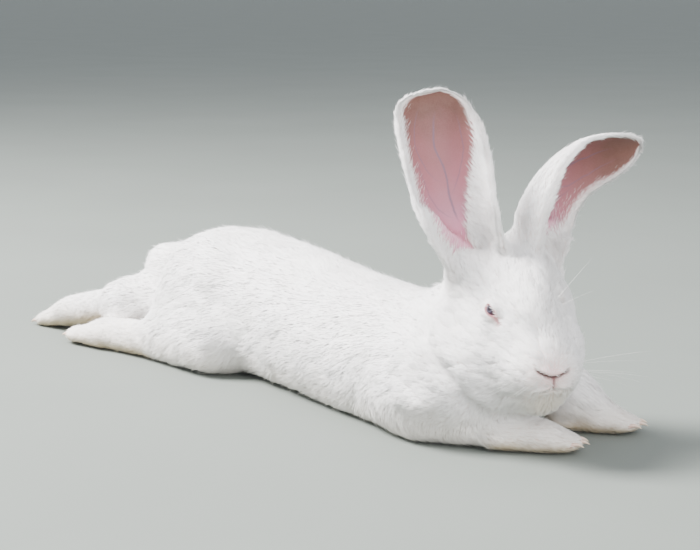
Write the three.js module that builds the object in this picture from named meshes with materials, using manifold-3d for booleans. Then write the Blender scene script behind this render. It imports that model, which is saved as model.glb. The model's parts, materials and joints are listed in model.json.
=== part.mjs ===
// A giant white rabbit lying at full stretch: a still, life-size model.
// Millimetres. +X runs along the trunk toward the head, +Y is the animal's left, +Z is up.
// Every solid reaches out to the tips of the coat. The animal rests on small flats at Z = 0.
//
// The body is described as a set of soft masses (ovoids and tapered limbs) that melt into
// each other. A shell is cast from a line inside each part out to the surface of those masses,
// and neighbouring parts are then trimmed clear of each other by a thin gap.
import * as THREE from "three";
import { mergeVertices } from "three/addons/utils/BufferGeometryUtils.js";
import Module from "manifold-3d";

const wasm = await Module();
wasm.setup();

// ---- driving dimensions ----------------------------------------------------------------

const GAP = 0.35; // clearance left wherever two parts meet
const FAR = 600; // size of the blocks that make flat cuts
const FLOOR_SNAP = 0.05; // points this close to the floor lie on it
const SAME_POINT = 1e-5; // corners closer than this are one corner

const HEAD_PLACE = [323, 47, 126]; // between the eyes, inside the skull
const HEAD_TURN = [4, 17, -20]; // roll, nose-down pitch and yaw, in degrees

const HAIR_WHITE = 0xf6f4f0;
const EYE_COLOUR = 0x8b6f86;
const CLAW_COLOUR = 0xd9cdbb;

// ---- materials -------------------------------------------------------------------------

const coat = new THREE.MeshStandardMaterial({ color: HAIR_WHITE, roughness: 0.9, metalness: 0 });
const eyeball = new THREE.MeshStandardMaterial({ color: EYE_COLOUR, roughness: 0.08, metalness: 0 });
const horn = new THREE.MeshStandardMaterial({ color: CLAW_COLOUR, roughness: 0.45, metalness: 0 });

// ---- soft masses -----------------------------------------------------------------------
// A mass is a function of a point that is negative inside, zero on the surface and positive
// outside, in roughly true millimetres.

const vector = (point) => new THREE.Vector3(...point);

function frameAt(place, rollPitchYaw) {
  const angles = rollPitchYaw.map(THREE.MathUtils.degToRad);
  const turn = new THREE.Quaternion().setFromEuler(new THREE.Euler(...angles, "ZYX"));
  return new THREE.Matrix4().compose(vector(place), turn, vector([1, 1, 1]));
}

function ovoid(place, radii, rollPitchYaw = [0, 0, 0]) {
  const inward = frameAt(place, rollPitchYaw).invert();
  const radius = vector(radii);
  const local = new THREE.Vector3();
  return (point) => {
    local.copy(point).applyMatrix4(inward).divide(radius);
    const reach = local.length();
    const slope = local.divide(radius).length();
    return slope < SAME_POINT ? -Math.min(...radii) : (reach * (reach - 1)) / slope;
  };
}

function limb(start, end, startRadius, endRadius) {
  const bone = new THREE.Line3(vector(start), vector(end));
  const nearest = new THREE.Vector3();
  return (point) => {
    const along = bone.closestPointToPointParameter(point, true);
    const radius = THREE.MathUtils.lerp(startRadius, endRadius, along);
    return bone.at(along, nearest).distanceTo(point) - radius;
  };
}

function melted(softness, ...masses) {
  return (point) =>
    masses
      .map((mass) => mass(point))
      .reduce((a, b) => {
        const overlap = Math.max(softness - Math.abs(a - b), 0) / softness;
        return Math.min(a, b) - (overlap * overlap * softness) / 4;
      });
}

function inFrame(frame, mass) {
  const inward = frame.clone().invert();
  return (point) => mass(point.clone().applyMatrix4(inward));
}

const bothSides = (makeMass) => [makeMass(1), makeMass(-1)];

// ---- shells and cuts -------------------------------------------------------------------

const RAY_STEP = 2;
const RAY_END = 260;
const RAY_HALVINGS = 14; // each one halves the doubt about where the surface is

function reachSurface(mass, origin, direction) {
  const at = new THREE.Vector3();
  const valueAt = (distance) => mass(at.copy(origin).addScaledVector(direction, distance));
  let outside = RAY_STEP;
  while (outside < RAY_END && valueAt(outside) < 0) {
    outside += RAY_STEP;
  }
  let inside = outside - RAY_STEP;
  for (let halving = 0; halving < RAY_HALVINGS; halving += 1) {
    const middle = (inside + outside) / 2;
    if (valueAt(middle) < 0) {
      inside = middle;
    } else {
      outside = middle;
    }
  }
  return at.copy(origin).addScaledVector(direction, (inside + outside) / 2);
}

function roundBall(sides, rings) {
  const ball = new THREE.SphereGeometry(1, sides, rings);
  ball.deleteAttribute("normal");
  ball.deleteAttribute("uv");
  return mergeVertices(ball, SAME_POINT);
}

const smoothPath = (points) => new THREE.CatmullRomCurve3(points.map(vector), false, "centripetal");

// Casts a ball's points from an inner line out to the surface of the masses. A shell that
// `grow` makes larger is used only to trim a neighbour, and so it passes through the floor.
function shell({ mass, line, sides, rings }, grow = 0) {
  const onFloor = grow === 0;
  const grown = (point) => {
    const value = mass(point) - grow;
    return onFloor ? Math.max(value, -point.z) : value;
  };
  const path = smoothPath(line);
  const ball = roundBall(sides, rings);
  const position = ball.getAttribute("position");
  const unit = new THREE.Vector3();
  for (let i = 0; i < position.count; i += 1) {
    unit.fromBufferAttribute(position, i);
    const along = (1 - unit.y) / 2;
    const ahead = path.getTangent(along);
    const side = vector([0, 0, 1]).cross(ahead).normalize();
    const lift = ahead.clone().cross(side);
    const direction = ahead
      .clone()
      .multiplyScalar(-unit.y)
      .addScaledVector(side, unit.x)
      .addScaledVector(lift, unit.z)
      .normalize();
    const hit = reachSurface(grown, path.getPoint(along), direction);
    const height = onFloor && hit.z < FLOOR_SNAP ? 0 : hit.z;
    position.setXYZ(i, hit.x, hit.y, height);
  }
  return toSolid(ball);
}

function toSolid(geometry) {
  const vertProperties = Float32Array.from(geometry.getAttribute("position").array);
  const triVerts = Uint32Array.from(geometry.index.array);
  return new wasm.Manifold(new wasm.Mesh({ numProp: 3, vertProperties, triVerts }));
}

function toGeometry(solid) {
  const { vertProperties, triVerts } = solid.getMesh();
  const geometry = new THREE.BufferGeometry();
  geometry.setAttribute("position", new THREE.BufferAttribute(vertProperties, 3));
  geometry.setIndex(new THREE.BufferAttribute(triVerts, 1));
  geometry.computeVertexNormals();
  return geometry;
}

// The block of space on the far side of a plane, reaching half the gap across it.
function beyond(point, facing) {
  const block = new THREE.BoxGeometry(FAR, FAR, FAR);
  block.deleteAttribute("normal");
  block.deleteAttribute("uv");
  const merged = mergeVertices(block);
  merged.translate(0, 0, FAR / 2 - GAP / 2);
  const direction = vector(facing).normalize();
  const turn = new THREE.Quaternion().setFromUnitVectors(vector([0, 0, 1]), direction);
  merged.applyQuaternion(turn).translate(...point);
  return toSolid(merged);
}

const trimmed = (solid, ...cutters) => cutters.reduce((left, cutter) => left.subtract(cutter), solid);

// ---- head and neck ---------------------------------------------------------------------

const headFrame = frameAt(HEAD_PLACE, HEAD_TURN);
const fromHead = (place) => vector(place).applyMatrix4(headFrame).toArray();
const facingFromHead = (way) => vector(way).transformDirection(headFrame).toArray();

const headMass = inFrame(
  headFrame,
  melted(
    20,
    ovoid([-20, 0, 12], [46, 42, 35]), // braincase
    ovoid([14, 0, 8], [44, 33, 34]), // brow
    limb([12, 0, 4], [64, 0, -15], 31, 22), // bridge of the nose
    ...bothSides((side) => ovoid([6, side * 29, -26], [50, 25, 38], [0, 6, 0])), // cheeks
    ...bothSides((side) => ovoid([60, side * 13, -32], [28, 20, 22])), // whisker pads
    ovoid([50, 0, -60], [26, 22, 20]), // chin
    ovoid([-8, 0, -50], [58, 42, 36]), // throat
    ...bothSides((side) => ovoid([-46, side * 28, -34], [40, 36, 44])), // ruff
  ),
);

const neckMass = melted(
  40,
  limb([210, 24, 58], [285, 28, 86], 52, 50), // nape
  ovoid([262, 14, 46], [62, 62, 48]), // dewlap
);

// ---- trunk and tail --------------------------------------------------------------------

const trunkMass = melted(
  45,
  ovoid([185, 32, 46], [95, 68, 64]), // chest
  ovoid([85, 32, 52], [120, 77, 68]), // ribs and belly
  ovoid([-30, 28, 60], [105, 74, 74]), // flank
  ovoid([-125, 16, 66], [92, 78, 75]), // rump
);

const tailMass = melted(20, limb([-188, 2, 84], [-248, -5, 86], 34, 25));

// ---- legs ------------------------------------------------------------------------------

const haunchRightMass = melted(
  34,
  ovoid([-104, -16, 68], [92, 52, 76], [0, 8, 6]), // thigh and knee
  limb([-60, -48, 30], [-152, -62, 24], 32, 23), // shin
);

const haunchLeftMass = melted(
  34,
  ovoid([-130, 56, 43], [88, 46, 46]), // thigh and knee
  limb([-170, 18, 44], [-256, -52, 44], 40, 31), // shin
);

const armRightMass = melted(
  26,
  ovoid([222, -12, 46], [48, 34, 50]), // shoulder
  limb([262, -16, 24], [332, 30, 17], 24, 15), // forearm
);

const armLeftMass = melted(
  26,
  ovoid([228, 80, 46], [56, 34, 50]), // shoulder
  limb([274, 92, 60], [318, 125, 27], 38, 22), // forearm
);

const footFrames = {
  left: frameAt([-262, -54, 41], [0, 12, 195]),
  right: frameAt([-146, -62, 20], [0, 1.5, 195]),
};

const HIND_TOES = [-1.5, -0.5, 0.5, 1.5]; // counted across the foot from its middle
const hindToeTip = (toe) => [146 - toe * toe * 4, toe * 11, -7];

const hindFootMass = melted(
  9,
  ovoid([6, 0, 0], [22, 17, 18]), // hock
  limb([10, 0, 1], [96, 0, -1], 20, 19), // instep
  ...HIND_TOES.map((toe) => limb([92, toe * 9, -3], hindToeTip(toe), 10, 7.5)),
);

const pawFrames = {
  left: frameAt([306, 113, 14], [0, 0, 50]),
  right: frameAt([328, 26, 14], [0, 0, 55]),
};

const FORE_TOES = [-1.5, -0.5, 0.5, 1.5];
const foreToeTip = (toe) => [62 - toe * toe * 3, toe * 10, -5];

const forePawMass = melted(
  8,
  limb([-6, 0, 0], [34, 0, 1], 15, 16), // wrist and palm
  ...FORE_TOES.map((toe) => limb([30, toe * 8, -1], foreToeTip(toe), 9, 7)),
);

// ---- ears ------------------------------------------------------------------------------
// An ear is a long leaf curled round its own length: nearly a tube at the root, a shallow cup
// toward the tip. It follows a spine, and its hollow faces a way that turns along it.

const EAR_SIDES = 18;
const EAR_RINGS = 16;
const EAR_THICKNESS = 5.5;
const EAR_ROOT_THICKNESS = 8;
const EAR_ROOT_CURL = 2.3; // half the angle that the leaf wraps round, in radians
const EAR_TIP_CURL = 0.75;
const EAR_UNCURL_POWER = 0.55; // below one, so that the leaf opens soonest near its root
const EAR_TIP_POWER = 5; // high, so that the leaf keeps its width until near the tip
const EAR_END_WIDENING = 3; // how fast the two closed ends reach the full width
const EAR_END_THICKENING = 2;
const EAR_ROOT_SHARE = 0.88; // how much narrower the leaf is at its root
const EAR_ROOT_STRETCH = 0.33; // share of the length over which the root widens

const earForms = {
  right: {
    spine: [fromHead([-34, -24, 4]), [296, 6, 182], [285, 1, 212], [270, 2, 258], [261, 2, 306.5]],
    rootFacing: [0.84, -0.545, 0.1],
    tipFacing: [0.84, -0.545, 0.05],
    halfWidth: 50,
  },
  left: {
    spine: [fromHead([-33, 20, 0]), [303, 71, 178], [298, 90, 210], [297, 125, 238], [317, 184, 252]],
    rootFacing: [0.85, 0.53, 0],
    tipFacing: [0.62, -0.15, -0.65],
    halfWidth: 53,
  },
};

function ear({ spine, rootFacing, tipFacing, halfWidth }) {
  const path = smoothPath(spine);
  const ball = roundBall(EAR_SIDES, EAR_RINGS);
  const position = ball.getAttribute("position");
  const unit = new THREE.Vector3();
  for (let i = 0; i < position.count; i += 1) {
    unit.fromBufferAttribute(position, i);
    const along = (1 - unit.y) / 2;
    const round = Math.hypot(unit.x, unit.z);
    const turn = Math.atan2(unit.z, unit.x);
    const ahead = path.getTangent(along);
    const facing = vector(rootFacing).lerp(vector(tipFacing), along);
    facing.addScaledVector(ahead, -facing.dot(ahead)).normalize();
    const side = facing.clone().cross(ahead);
    const rootward = Math.min(1, along / EAR_ROOT_STRETCH);
    const tipTaper = Math.sqrt(1 - along ** EAR_TIP_POWER);
    const rootTaper = THREE.MathUtils.lerp(EAR_ROOT_SHARE, 1, rootward);
    const width = halfWidth * rootTaper * tipTaper * Math.min(1, EAR_END_WIDENING * round);
    const curl = THREE.MathUtils.lerp(EAR_ROOT_CURL, EAR_TIP_CURL, along ** EAR_UNCURL_POWER);
    const radius = width / curl;
    const fullThickness = THREE.MathUtils.lerp(EAR_ROOT_THICKNESS, EAR_THICKNESS, rootward);
    const thickness = fullThickness * Math.min(1, EAR_END_THICKENING * round);
    const angle = Math.cos(turn) * curl;
    const layer = radius - (Math.sin(turn) * thickness) / 2;
    const middle = (radius * Math.sin(curl)) / curl;
    const at = path
      .getPoint(along)
      .addScaledVector(side, layer * Math.sin(angle))
      .addScaledVector(facing, middle - layer * Math.cos(angle));
    position.setXYZ(i, ...at.toArray());
  }
  return toSolid(ball);
}

// ---- eyes ------------------------------------------------------------------------------
// A whole ball sits in a socket, and an almond opening between the lids leads to it.

const EYE_SIDES = 12;
const EYE_RADIUS = 9.5;
const EYE_PLACE = [25.5, 31, 8]; // left eye, in the head's own frame
const LID_OPENING = [7.5, 6, 4]; // half length, half depth and half height
const LID_PLACE = [31, 39, 9.7];
const LID_SLANT = 16; // degrees down toward the nose

const beside = ([x, y, z], side) => fromHead([x, side * y, z]);

function eyeBall(side, grow = 0) {
  const radius = EYE_RADIUS + grow;
  const ball = roundBall(EYE_SIDES, 7).scale(radius, radius, radius);
  return toSolid(ball.translate(...beside(EYE_PLACE, side)));
}

function lidOpening(side) {
  const turn = new THREE.Matrix4().makeRotationY(THREE.MathUtils.degToRad(LID_SLANT));
  const almond = roundBall(EYE_SIDES, 6).scale(...LID_OPENING).applyMatrix4(turn);
  const { x, y, z } = vector(LID_PLACE);
  return toSolid(almond.translate(x, side * y, z).applyMatrix4(headFrame));
}

// ---- claws -----------------------------------------------------------------------------
// A claw is a cone that bends down a little, seated in the tip of its toe.

const CLAW_SIDES = 5;
const CLAW_LENGTH = 12;
const CLAW_RADIUS = 2.1;
const CLAW_BEND = 0.012; // how fast the tip droops, per millimetre
const CLAW_SEAT = -1; // where the claw's root starts, from the middle of the toe's tip

function clawAt(frame, toeTip, grow = 0) {
  const cone = new THREE.ConeGeometry(CLAW_RADIUS + grow, CLAW_LENGTH + 2 * grow, CLAW_SIDES, 2);
  cone.deleteAttribute("normal");
  cone.deleteAttribute("uv");
  const point = mergeVertices(cone, SAME_POINT);
  point.rotateZ(-Math.PI / 2).translate(CLAW_LENGTH / 2 + CLAW_SEAT, 0, 0);
  const position = point.getAttribute("position");
  for (let i = 0; i < position.count; i += 1) {
    const x = position.getX(i);
    position.setZ(i, position.getZ(i) - CLAW_BEND * x * x);
  }
  return toSolid(point.translate(toeTip[0], toeTip[1], toeTip[2]).applyMatrix4(frame));
}

// ---- flesh shells ----------------------------------------------------------------------

const inPlace = (frame, place) => vector(place).applyMatrix4(frame).toArray();

const flesh = {
  head: {
    mass: melted(30, headMass, neckMass),
    line: [fromHead([68, 0, -30]), fromHead([20, 0, -14]), fromHead([-34, 0, -8])],
    sides: 25,
    rings: 24,
  },
  neck: {
    mass: melted(30, headMass, neckMass, trunkMass),
    line: [[312, 36, 92], [260, 26, 64], [205, 26, 58]],
    sides: 22,
    rings: 12,
  },
  trunk: {
    mass: melted(36, trunkMass, neckMass),
    line: [[250, 26, 56], [130, 32, 58], [0, 30, 60], [-150, 14, 64]],
    sides: 24,
    rings: 22,
  },
  tail: { mass: tailMass, line: [[-195, 2, 85], [-242, -4, 86]], sides: 12, rings: 9 },
  hindleg_right: {
    mass: haunchRightMass,
    line: [[-55, -28, 52], [-105, -34, 50], [-146, -60, 26]],
    sides: 16,
    rings: 13,
  },
  hindleg_left: {
    mass: haunchLeftMass,
    line: [[-80, 62, 40], [-165, 26, 42], [-250, -47, 44]],
    sides: 16,
    rings: 13,
  },
  foreleg_right: {
    mass: armRightMass,
    line: [[205, -10, 44], [250, -14, 32], [328, 27, 17]],
    sides: 13,
    rings: 11,
  },
  foreleg_left: {
    mass: armLeftMass,
    line: [[205, 80, 46], [262, 86, 50], [314, 121, 27]],
    sides: 13,
    rings: 11,
  },
};

for (const side of ["left", "right"]) {
  const foot = footFrames[side];
  flesh[`hindfoot_${side}`] = {
    mass: inFrame(foot, hindFootMass),
    line: [inPlace(foot, [6, 0, 0]), inPlace(foot, [132, 0, -4])],
    sides: 12,
    rings: 12,
  };
  const paw = pawFrames[side];
  flesh[`forepaw_${side}`] = {
    mass: inFrame(paw, forePawMass),
    line: [inPlace(paw, [0, 0, 0]), inPlace(paw, [50, 0, -2])],
    sides: 12,
    rings: 12,
  };
}

const whole = (name) => shell(flesh[name]);
const around = (name) => shell(flesh[name], GAP);

// ---- the cuts that part them -----------------------------------------------------------

const NAPE = { point: fromHead([-46, 0, 0]), back: facingFromHead([-1, 0, -0.5]) };
const SHOULDERS = { point: [202, 26, 60], back: [-1, 0, 0.1] };

const behind = ({ point, back }) => beyond(point, back);
const before = ({ point, back }) => beyond(point, vector(back).negate().toArray());

// Keeps the main piece and drops the slivers that a cut may leave.
function mainPiece(solid) {
  const pieces = solid.decompose();
  return pieces.reduce((largest, piece) => (piece.volume() > largest.volume() ? piece : largest));
}

const parted = (solid, ...cutters) => mainPiece(trimmed(solid, ...cutters));

const clawForms = {};
for (const side of ["left", "right"]) {
  HIND_TOES.forEach((toe, i) => {
    clawForms[`claw_hind_${side}_${i + 1}`] = [footFrames[side], hindToeTip(toe)];
  });
  FORE_TOES.forEach((toe, i) => {
    clawForms[`claw_fore_${side}_${i + 1}`] = [pawFrames[side], foreToeTip(toe)];
  });
}
const clawsAround = (start) =>
  Object.keys(clawForms)
    .filter((name) => name.startsWith(start))
    .map((name) => clawAt(...clawForms[name], GAP));

const solids = {
  head: parted(
    whole("head"),
    behind(NAPE),
    eyeBall(1, GAP),
    eyeBall(-1, GAP),
    lidOpening(1),
    lidOpening(-1),
    around("foreleg_right"),
    around("forepaw_right"),
    around("foreleg_left"),
  ),
  neck: parted(
    whole("neck"),
    before(NAPE),
    behind(SHOULDERS),
    around("foreleg_right"),
    around("foreleg_left"),
    around("forepaw_right"),
  ),
  trunk: parted(
    whole("trunk"),
    before(SHOULDERS),
    around("foreleg_right"),
    around("foreleg_left"),
    around("hindleg_right"),
    around("hindleg_left"),
    around("hindfoot_right"),
    around("tail"),
  ),
  tail: parted(whole("tail"), around("hindleg_right"), around("hindleg_left")),
  foreleg_left: parted(whole("foreleg_left"), around("forepaw_left")),
  foreleg_right: parted(whole("foreleg_right"), around("forepaw_right")),
  forepaw_left: parted(whole("forepaw_left"), ...clawsAround("claw_fore_left")),
  forepaw_right: parted(whole("forepaw_right"), ...clawsAround("claw_fore_right")),
  hindleg_left: parted(
    whole("hindleg_left"),
    around("hindfoot_left"),
    around("hindleg_right"),
    around("hindfoot_right"),
  ),
  hindleg_right: parted(whole("hindleg_right"), around("hindfoot_right")),
  hindfoot_left: parted(whole("hindfoot_left"), ...clawsAround("claw_hind_left")),
  hindfoot_right: parted(whole("hindfoot_right"), ...clawsAround("claw_hind_right")),
  ear_left: parted(ear(earForms.left), around("head")),
  ear_right: parted(ear(earForms.right), around("head")),
};

// ---- assembly --------------------------------------------------------------------------

const rabbit = new THREE.Group();

function addPart(name, solid, material) {
  const mesh = new THREE.Mesh(toGeometry(solid), material);
  mesh.name = name;
  rabbit.add(mesh);
}

for (const [name, solid] of Object.entries(solids)) {
  addPart(name, solid, coat);
}
addPart("eye_left", eyeBall(1), eyeball);
addPart("eye_right", eyeBall(-1), eyeball);
for (const [name, form] of Object.entries(clawForms)) {
  addPart(name, clawAt(...form), horn);
}

// The origin sits on the floor under the middle of the animal.
const extent = new THREE.Box3().setFromObject(rabbit, true);
const middle = extent.getCenter(new THREE.Vector3());
rabbit.position.set(-middle.x, -middle.y, 0);

export default rabbit;
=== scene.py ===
import json
import math

import bmesh
import bpy
import numpy as np
import openvdb
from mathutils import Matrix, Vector
from mathutils.bvhtree import BVHTree
from mathutils.kdtree import KDTree

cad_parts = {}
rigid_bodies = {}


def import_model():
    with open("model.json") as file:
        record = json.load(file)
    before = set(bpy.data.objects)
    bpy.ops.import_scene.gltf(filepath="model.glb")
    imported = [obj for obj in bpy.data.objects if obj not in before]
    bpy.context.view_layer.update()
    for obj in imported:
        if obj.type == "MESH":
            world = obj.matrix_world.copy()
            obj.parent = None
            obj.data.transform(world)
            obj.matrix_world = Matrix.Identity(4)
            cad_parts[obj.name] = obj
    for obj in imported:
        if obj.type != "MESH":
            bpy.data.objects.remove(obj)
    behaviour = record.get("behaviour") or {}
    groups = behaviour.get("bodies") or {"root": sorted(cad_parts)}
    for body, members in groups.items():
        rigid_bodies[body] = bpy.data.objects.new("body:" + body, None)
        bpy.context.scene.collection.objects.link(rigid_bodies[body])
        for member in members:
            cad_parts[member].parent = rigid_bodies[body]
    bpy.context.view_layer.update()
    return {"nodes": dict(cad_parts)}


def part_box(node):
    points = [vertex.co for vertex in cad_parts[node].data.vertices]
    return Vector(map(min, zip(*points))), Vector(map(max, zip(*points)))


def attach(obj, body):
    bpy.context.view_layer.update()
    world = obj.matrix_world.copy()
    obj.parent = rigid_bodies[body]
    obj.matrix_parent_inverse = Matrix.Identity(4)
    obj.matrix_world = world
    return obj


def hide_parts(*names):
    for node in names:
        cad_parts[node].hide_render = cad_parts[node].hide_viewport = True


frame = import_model()
chance = np.random.default_rng(57)

# ---------------------------------------------------------------------------------------------
# The body form. The real one is muscle and fat under loose skin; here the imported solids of
# flesh are fused into one closed form, smoothed, and sunk below their surface by the depth of
# the coat, so that the hair grown later fills them again.

MM = 0.001
EARS = ("ear_right", "ear_left")
EYES = ("eye_right", "eye_left")
FLESH = [name for name in frame["nodes"] if not name.startswith(("ear_", "eye_", "claw_"))]
CORNER = 1e-6                      # corners this close are one, in metres
FUSE_CELL = 1.5 * MM
SKIN_CELL = 2 * MM
FIRST_SINK = 2 * MM                # deep enough to close the gaps between the solids
COAT_DEPTH = {                     # how far the skin lies under the tips of the hair, in mm
    "head": 3.0, "neck": 4.6, "trunk": 4.8, "tail": 5.5, "foreleg": 3.8,
    "forepaw": 2.8, "hindleg": 4.6, "hindfoot": 3.0, "eye": 3.0,
}
EVENING = {                        # how strongly facets and bumps are smoothed away, 0 to 1
    "head": 0.5, "neck": 1, "trunk": 1, "tail": 1, "foreleg": 0.7,
    "forepaw": 0.2, "hindleg": 1, "hindfoot": 0.2, "eye": 0.5,
}
EVENING_ROUNDS = 60
EVENING_BLEND = 12                 # rounds that blend one part's evening into the next part's
DEPTH_BLEND = 40                   # and the same for the depth of its coat
SUNK_EVENING = 6                   # rounds that even the form once more after it is sunk
PRESSED = 22 * MM                  # hair lower than this is pressed flat by the floor
BRIDGED = (                        # parts between which loose skin bridges the folds, and how far
    (("neck", "trunk", "tail", "foreleg", "hindleg"), 9 * MM),
    (("head", "neck", "trunk"), 4.5 * MM),
)


def part_of(node):
    """The part's name without its side."""
    return node.replace("_left", "").replace("_right", "")


def rows_of(items, key, kind):
    """Three numbers from each point or triangle of a mesh."""
    values = np.empty((len(items), 3), kind)
    items.foreach_get(key, values.ravel())
    return values


def solid_arrays(names):
    """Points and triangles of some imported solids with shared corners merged, and whose each is."""
    points, triangles, owners = [], [], []
    start = 0
    for number, name in enumerate(names):
        mesh = frame["nodes"][name].data
        mesh.calc_loop_triangles()
        place = rows_of(mesh.vertices, "co", np.float32)
        corners = rows_of(mesh.loop_triangles, "vertices", np.int32)
        merged, place_of = np.unique(np.round(place / CORNER), axis=0, return_inverse=True)
        points.append(merged * CORNER)
        triangles.append(place_of.reshape(-1)[corners] + start)
        owners.append(np.full(len(corners), number))
        start += len(merged)
    return np.concatenate(points), np.concatenate(triangles), np.concatenate(owners)


def sunk_form(points, faces, cell, depth):
    """A closed form of quads that lies under a surface by a depth."""
    kind = "triangles" if faces.shape[1] == 3 else "quads"
    grid = openvdb.FloatGrid.createLevelSetFromPolygons(
        points.astype(np.float32),
        transform=openvdb.createLinearTransform(voxelSize=cell),
        exBandWidth=max(-depth, 0) / cell + 3.0,
        inBandWidth=max(depth, 0) / cell + 3.0,
        **{kind: faces.astype(np.uint32)},
    )
    form, quads = grid.convertToQuads(isovalue=-depth)
    form = form.astype(float)
    quads = quads.astype(np.int64)
    a, b, c, d = (form[quads[:, k]] for k in range(4))
    volume = (np.cross(c - a, d - b) * (a + b + c + d)).sum()
    return form, quads if volume > 0 else quads[:, ::-1]


def edges_of(faces):
    """Every edge once, as pairs of point numbers."""
    pairs = [np.stack([faces[:, k], np.roll(faces, -1, 1)[:, k]], 1)
             for k in range(faces.shape[1])]
    pairs = np.sort(np.concatenate(pairs), 1)
    keys = np.unique(pairs[:, 0] * (faces.max() + 1) + pairs[:, 1])
    return np.stack(np.divmod(keys, faces.max() + 1), 1)


def neighbour_mean(values, edges):
    """The mean of each point's neighbours."""
    a, b = edges.T
    count = len(values)
    degree = np.bincount(a, minlength=count) + np.bincount(b, minlength=count)
    total = [np.bincount(a, column[b], count) + np.bincount(b, column[a], count)
             for column in values.reshape(count, -1).T]
    return (np.stack(total, 1) / np.maximum(degree, 1)[:, None]).reshape(values.shape)


def spread(values, edges, rounds):
    """Values softened over the surface."""
    for _ in range(rounds):
        values = 0.5 * values + 0.5 * neighbour_mean(values, edges)
    return values


def evened(points, edges, rounds, amount=1.0):
    """Points moved toward their neighbours' mean, round by round."""
    strength = 0.5 * np.broadcast_to(amount, len(points))[:, None]
    for _ in range(rounds):
        points = points + strength * (neighbour_mean(points, edges) - points)
    return points


def outward(points, faces):
    """Unit normals at the points."""
    corners = [points[faces[:, k]] for k in range(faces.shape[1])]
    if len(corners) == 4:
        across = np.cross(corners[2] - corners[0], corners[3] - corners[1])
    else:
        across = np.cross(corners[1] - corners[0], corners[2] - corners[0])
    total = np.stack([sum(np.bincount(faces[:, k], across[:, axis], len(points))
                          for k in range(faces.shape[1])) for axis in range(3)], 1)
    return total / np.maximum(np.linalg.norm(total, axis=1), 1e-12)[:, None]


def node_middle(node):
    """The middle of a solid's box."""
    low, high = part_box(node)
    return np.array((low + high) / 2)


def unit(vectors):
    """Vectors of length one."""
    return vectors / np.maximum(np.linalg.norm(vectors, axis=-1, keepdims=True), 1e-12)


between_eyes = (node_middle("eye_left") + node_middle("eye_right")) / 2
flesh = [*FLESH, *EYES]
flesh_points, flesh_triangles, flesh_owners = solid_arrays(flesh)
flesh_tree = BVHTree.FromPolygons(flesh_points.tolist(), flesh_triangles.tolist())


def nearest_node(points):
    """The number in flesh of the node that lies nearest to each point."""
    return flesh_owners[[flesh_tree.find_nearest(place)[2] for place in points]]


def by_part(table, owner):
    """Each point's value from a table of parts."""
    return np.array([table[part_of(name)] for name in flesh])[owner]


def halves(quads):
    """Quads as triangles."""
    return np.concatenate([quads[:, (0, 1, 2)], quads[:, (0, 2, 3)]])


def bridged(parts, reach):
    """Some parts as one form whose folds narrower than twice the reach are filled."""
    names = [name for name in FLESH if part_of(name) in parts]
    points, triangles, _ = solid_arrays(names)
    grown, quads = sunk_form(points, triangles, FUSE_CELL, -reach)
    return sunk_form(grown, quads, FUSE_CELL, reach)


def step(low, high, value):
    """Rises smoothly from 0 at low to 1 at high."""
    share = np.clip((value - low) / (high - low), 0, 1)
    return share * share * (3 - 2 * share)


def on_spine(places, share):
    """Points on a smooth curve through some places (centripetal Catmull-Rom)."""
    places = np.array(places, float)
    places = np.concatenate([2 * places[:1] - places[1:2], places, 2 * places[-1:] - places[-2:-1]])
    spans = len(places) - 3
    number = np.minimum((share * spans).astype(int), spans - 1)
    t = (share * spans - number)[:, None]
    before, start, end, after = (places[number + k] for k in range(4))
    gaps = [np.linalg.norm(q - p, axis=1)[:, None] ** 0.5
            for p, q in ((before, start), (start, end), (end, after))]
    leave = ((start - before) / gaps[0] - (end - before) / (gaps[0] + gaps[1])
             + (end - start) / gaps[1]) * gaps[1]
    arrive = ((end - start) / gaps[1] - (after - start) / (gaps[1] + gaps[2])
              + (after - end) / gaps[2]) * gaps[1]
    turn = 2 * (start - end) + leave + arrive
    bend = 3 * (end - start) - 2 * leave - arrive
    return start + t * (leave + t * (bend + t * turn))


MOUND_SIZE = (33, 20, 23)          # half lengths upward, forward and across, in mm


def root_mound(middle, along, facing, share):
    """An egg of muscle and fat under the skin."""
    bm = bmesh.new()
    bmesh.ops.create_icosphere(bm, subdivisions=4, radius=1.0)
    ball = np.array([v.co[:] for v in bm.verts])
    triangles = np.array([[v.index for v in f.verts] for f in bm.faces])
    bm.free()
    up = unit(np.array(along, float))
    front = np.array(facing, float)
    front = unit(front - up * (front @ up))
    side = np.cross(front, up)
    length, depth, width = (share * size for size in MOUND_SIZE)
    place = ball[:, :1] * front * depth + ball[:, 1:2] * side * width + ball[:, 2:] * up * length
    return (np.array(middle) + place) * MM + between_eyes, triangles


# Mounds close the feet of the ears in front, and the last one fills out the throat. Each has
# its place from between the eyes, the way it stands, the way it faces, and its share of the size.
MOUNDS = (
    ((-52, -28, 17), (-0.3, -0.2, 0.94), (0.84, -0.545, 0.1), 1.02),
    ((-51, -11, 22), (-0.4, 0.1, 1.0), (0.84, -0.545, 0.1), 0.8),
    ((-45, 33, 18), (-0.4, -0.1, 1.0), (0.85, 0.53, 0), 1),
    ((-42, 14, 33), (-0.2, 0, 1.0), (0.85, -0.3, 0.2), 0.95),
    ((-24, 3, -97), (0, 0, 1.0), (0.93, -0.37, 0), 0.9),
)
pieces = [(flesh_points, flesh_triangles)]
for parts, reach in BRIDGED:
    form, quads = bridged(parts, reach)
    pieces.append((form, halves(quads)))
pieces += [root_mound(*mound) for mound in MOUNDS]
starts = np.cumsum([0] + [len(points) for points, _ in pieces])
all_points = np.concatenate([points for points, _ in pieces])
all_triangles = np.concatenate([part + start for (_, part), start in zip(pieces, starts)])
form, quads = sunk_form(all_points, all_triangles, FUSE_CELL, 0.0)
form, quads = sunk_form(form, quads, SKIN_CELL, FIRST_SINK)
owner = nearest_node(form)
edges = edges_of(quads)
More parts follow.
